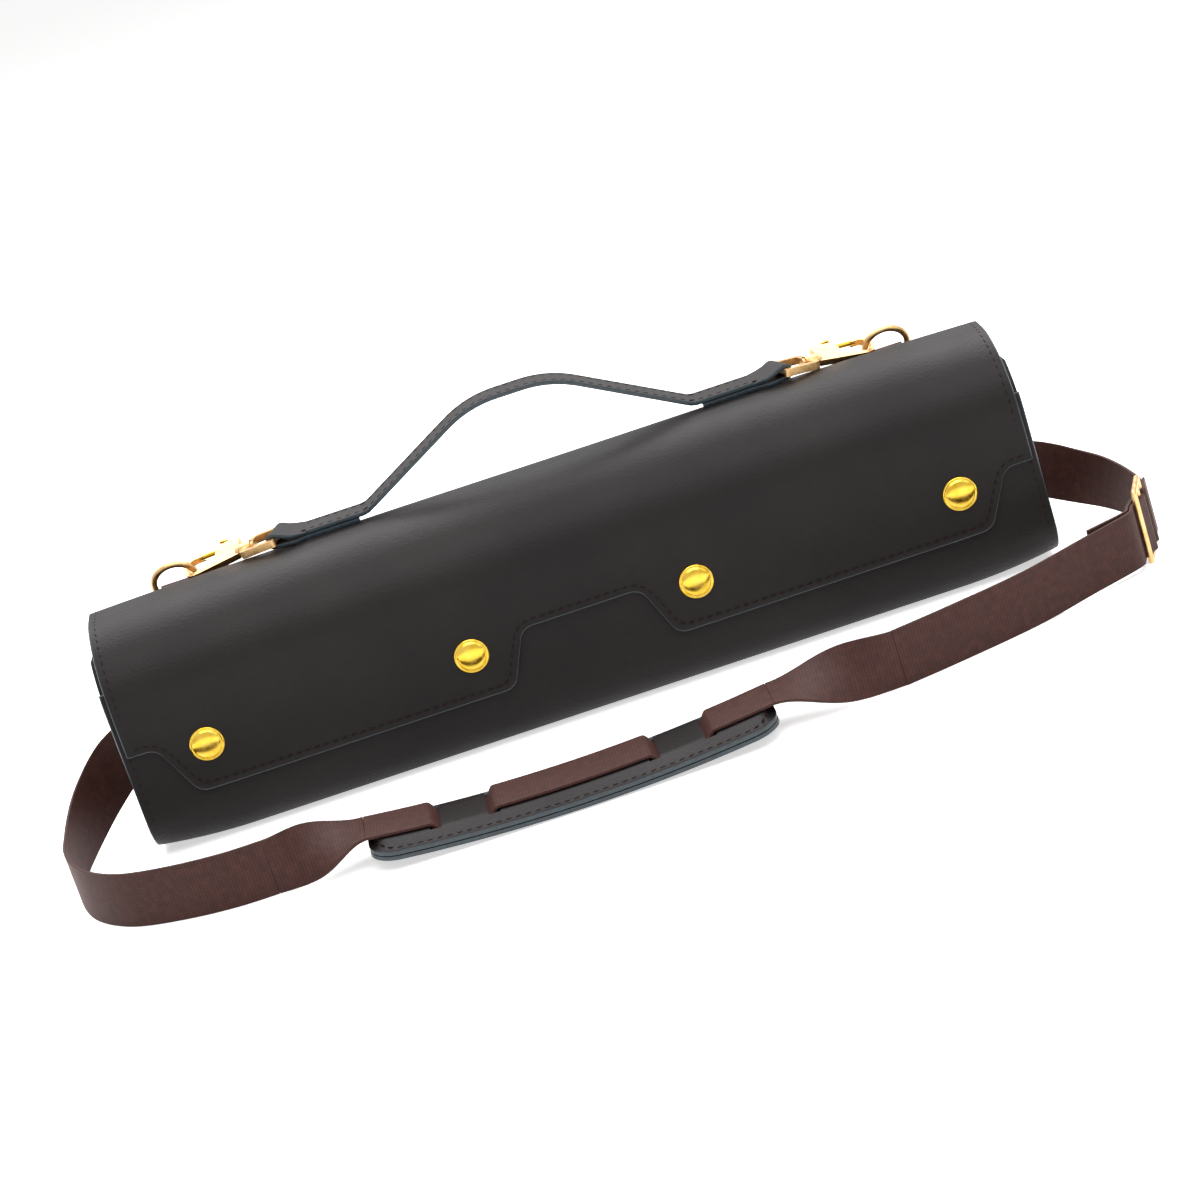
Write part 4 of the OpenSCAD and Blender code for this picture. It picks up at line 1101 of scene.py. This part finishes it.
def flap_facing(p):
    if p.z < FRONT_YZ[1]:
        return (0, -1, 0)
    if p.y > BACK_YZ[0]:
        return (0, p.y - BACK_YZ[0], p.z - BACK_YZ[1])
    return (0, min(0, p.y - FRONT_YZ[0]), p.z - FRONT_YZ[1])


inner_edge = []
for k in range(1, len(flap_edge) - 1):
    a, b = Vector(flap_edge[k - 1]), Vector(flap_edge[k + 1])
    way = (b - a).normalized()
    p = Vector(flap_edge[k]) + Vector((-way.y, way.x)) * IN
    if abs(p.x) < FLAP_HALF - IN:
        inner_edge.append((p.x, p.y))
inner_edge = [(-FLAP_HALF + IN, NOTCH_Z + IN)] + inner_edge + [(FLAP_HALF - IN, NOTCH_Z + IN)]
lower = [settled(x, -HALF_D - 0.55, z) for x, z in even(inner_edge, 1)]
sew("seam_flap_edge", lower, lambda p: (0, -1, 0), "flap")
for side, word in ((-1, "left"), (1, "right")):
    line = [settled(*flap_skin(side * (FLAP_HALF - IN), s)) for s in between(2, 138, 68)]
    line = [p for p in line if p[2] > NOTCH_Z + IN + 1 or p[1] > 0]
    sew(f"seam_flap_{word}", line, flap_facing, "flap")


# %% Seams of the tray
def tray_facing(p):
    if p.z >= FRONT_YZ[1]:
        return (0, p.y - FRONT_YZ[0] if p.y < 0 else 1, 0)
    past_front, past_back = min(0, p.y - LOW_FRONT_YZ[0]), max(0, p.y - LOW_BACK_YZ[0])
    return (0, past_front + past_back, min(0, p.z - LOW_R))


for side, word in ((-1, "left"), (1, "right")):
    line = [settled(side * (HALF_L - IN), *p) for p in tray_line(0, FOLD_LOW - 1, 1)]
    sew(f"seam_tray_{word}", line, tray_facing, "case")

# %% Seams of the handle, the pad and the patches
for edge, word in ((-1, "front"), (1, "back")):
    row = []
    for p, w, q in zip(handle_line, handle_widths, handle_line[1:]):
        out = (q - p).normalized().cross(w)
        if out.z > 0.2 and abs(p.x) < 108:
            row.append(p + w * edge * (HANDLE_W / 2 - 2.4) + out * 0.92)
    sew(f"seam_handle_{word}", row, lambda p: (0, 0, 1), "handle", sink=0.05)

border = [(x, half_width(x, IN)) for x in between(PAD_L + IN, PAD_R - IN, 190)]
ring_line = [(x, PAD_Y + w) for x, w in border] + [(x, PAD_Y - w) for x, w in reversed(border)]
pad_line = [(x, y, pad_crown(x, (y - PAD_Y) / half_width(x)) + 0.1)
            for x, y in even(ring_line + ring_line[:1], 1)]
sew("seam_pad", pad_line, lambda p: (0, 0, 1), "shoulder_pad")

for word, px, pz in PATCHES:
    high, wide = patch_height(pz) / 2 - 3.4, PATCH_W / 2 - 3.4
    corners = [(0, high), (wide, high), (wide, -high), (-wide, -high), (-wide, high), (0, high)]
    line = [(px + x, 36.45, pz + z) for x, z in even(round_corners(corners, 2), 1)]
    sew(f"seam_patch_{word}", line, lambda p: (0, 1, 0), "case")
bpy.data.objects.remove(stitch)

# %% [markdown]
# ## The table and the light
# A plain white floor fades into a white background, as on a light table. A long soft lamp
# above and behind gives the pale band along the rounded top, where it is seen at a flat
# angle. Two more fill the front and the right end.


# %% Floor, background and lamps
def seen_directly(tree):
    """1 for a ray from the lens, a mirror or glass, and 0 for one that gathers light."""
    ray = add(tree, "LightPath")
    return maths(tree, "MAXIMUM", ray.outputs["Is Camera Ray"],
                 maths(tree, "MAXIMUM", ray.outputs["Is Glossy Ray"],
                       ray.outputs["Is Transmission Ray"]))


FLOOR_GLOW, ROOM_LIGHT = 0.6, 0.33
alone()
bpy.ops.mesh.primitive_plane_add(size=8, location=(0, 0, 0))
floor = bpy.context.object
floor.name = "floor"
FLOOR, tree, shader = new_finish("white_paper_sweep")
# a little glow for the lens alone lifts the lit paper to white and leaves the shadow
glow = add(tree, "Emission", Color=(1, 1, 1, 1), Strength=maths(
    tree, "MULTIPLY", seen_directly(tree), FLOOR_GLOW))
shader.inputs["Base Color"].default_value = paint("#F4F4F3")
shader.inputs["Roughness"].default_value = 0.8
shader.inputs["Specular IOR Level"].default_value = 0.1
both = add(tree, "AddShader", i0=shader.outputs[0], i1=glow.outputs[0])
tree.links.new(both.outputs[0], tree.nodes["Material Output"].inputs["Surface"])
floor.data.materials.append(FLOOR)

world = bpy.data.worlds.new("white_room")
bpy.context.scene.world = world
world.use_nodes = True
tree = world.node_tree
tree.nodes.clear()
soft_light = add(tree, "Background", Color=(1, 1, 1, 1), Strength=ROOM_LIGHT)
white = add(tree, "Background", Color=(1, 1, 1, 1), Strength=1.0)
chosen = add(tree, "MixShader", Fac=seen_directly(tree), i1=soft_light.outputs[0],
             i2=white.outputs[0])
add(tree, "OutputWorld", Surface=chosen.outputs[0])


def lamp(name, at, aim, width, height, watts):
    data = bpy.data.lights.new(name, "AREA")
    data.shape, data.size, data.size_y, data.energy = "RECTANGLE", width, height, watts
    obj = bpy.data.objects.new(name, data)
    bpy.context.scene.collection.objects.link(obj)
    obj.location = at
    obj.rotation_mode = "QUATERNION"
    obj.rotation_quaternion = (Vector(aim) - Vector(at)).to_track_quat("-Z", "Y")


lamp("back_soft_box", (0.0, 0.8, 1.5), (0, 0, 0.06), 2.6, 1.5, 56)
lamp("front_soft_box", (0.1, -0.85, 1.35), (0, 0, 0.06), 1.6, 0.9, 20)
lamp("right_fill", (1.5, -0.6, 1.0), (0, 0, 0.05), 0.9, 0.9, 3)

bpy.context.scene.view_settings.view_transform = "Standard"
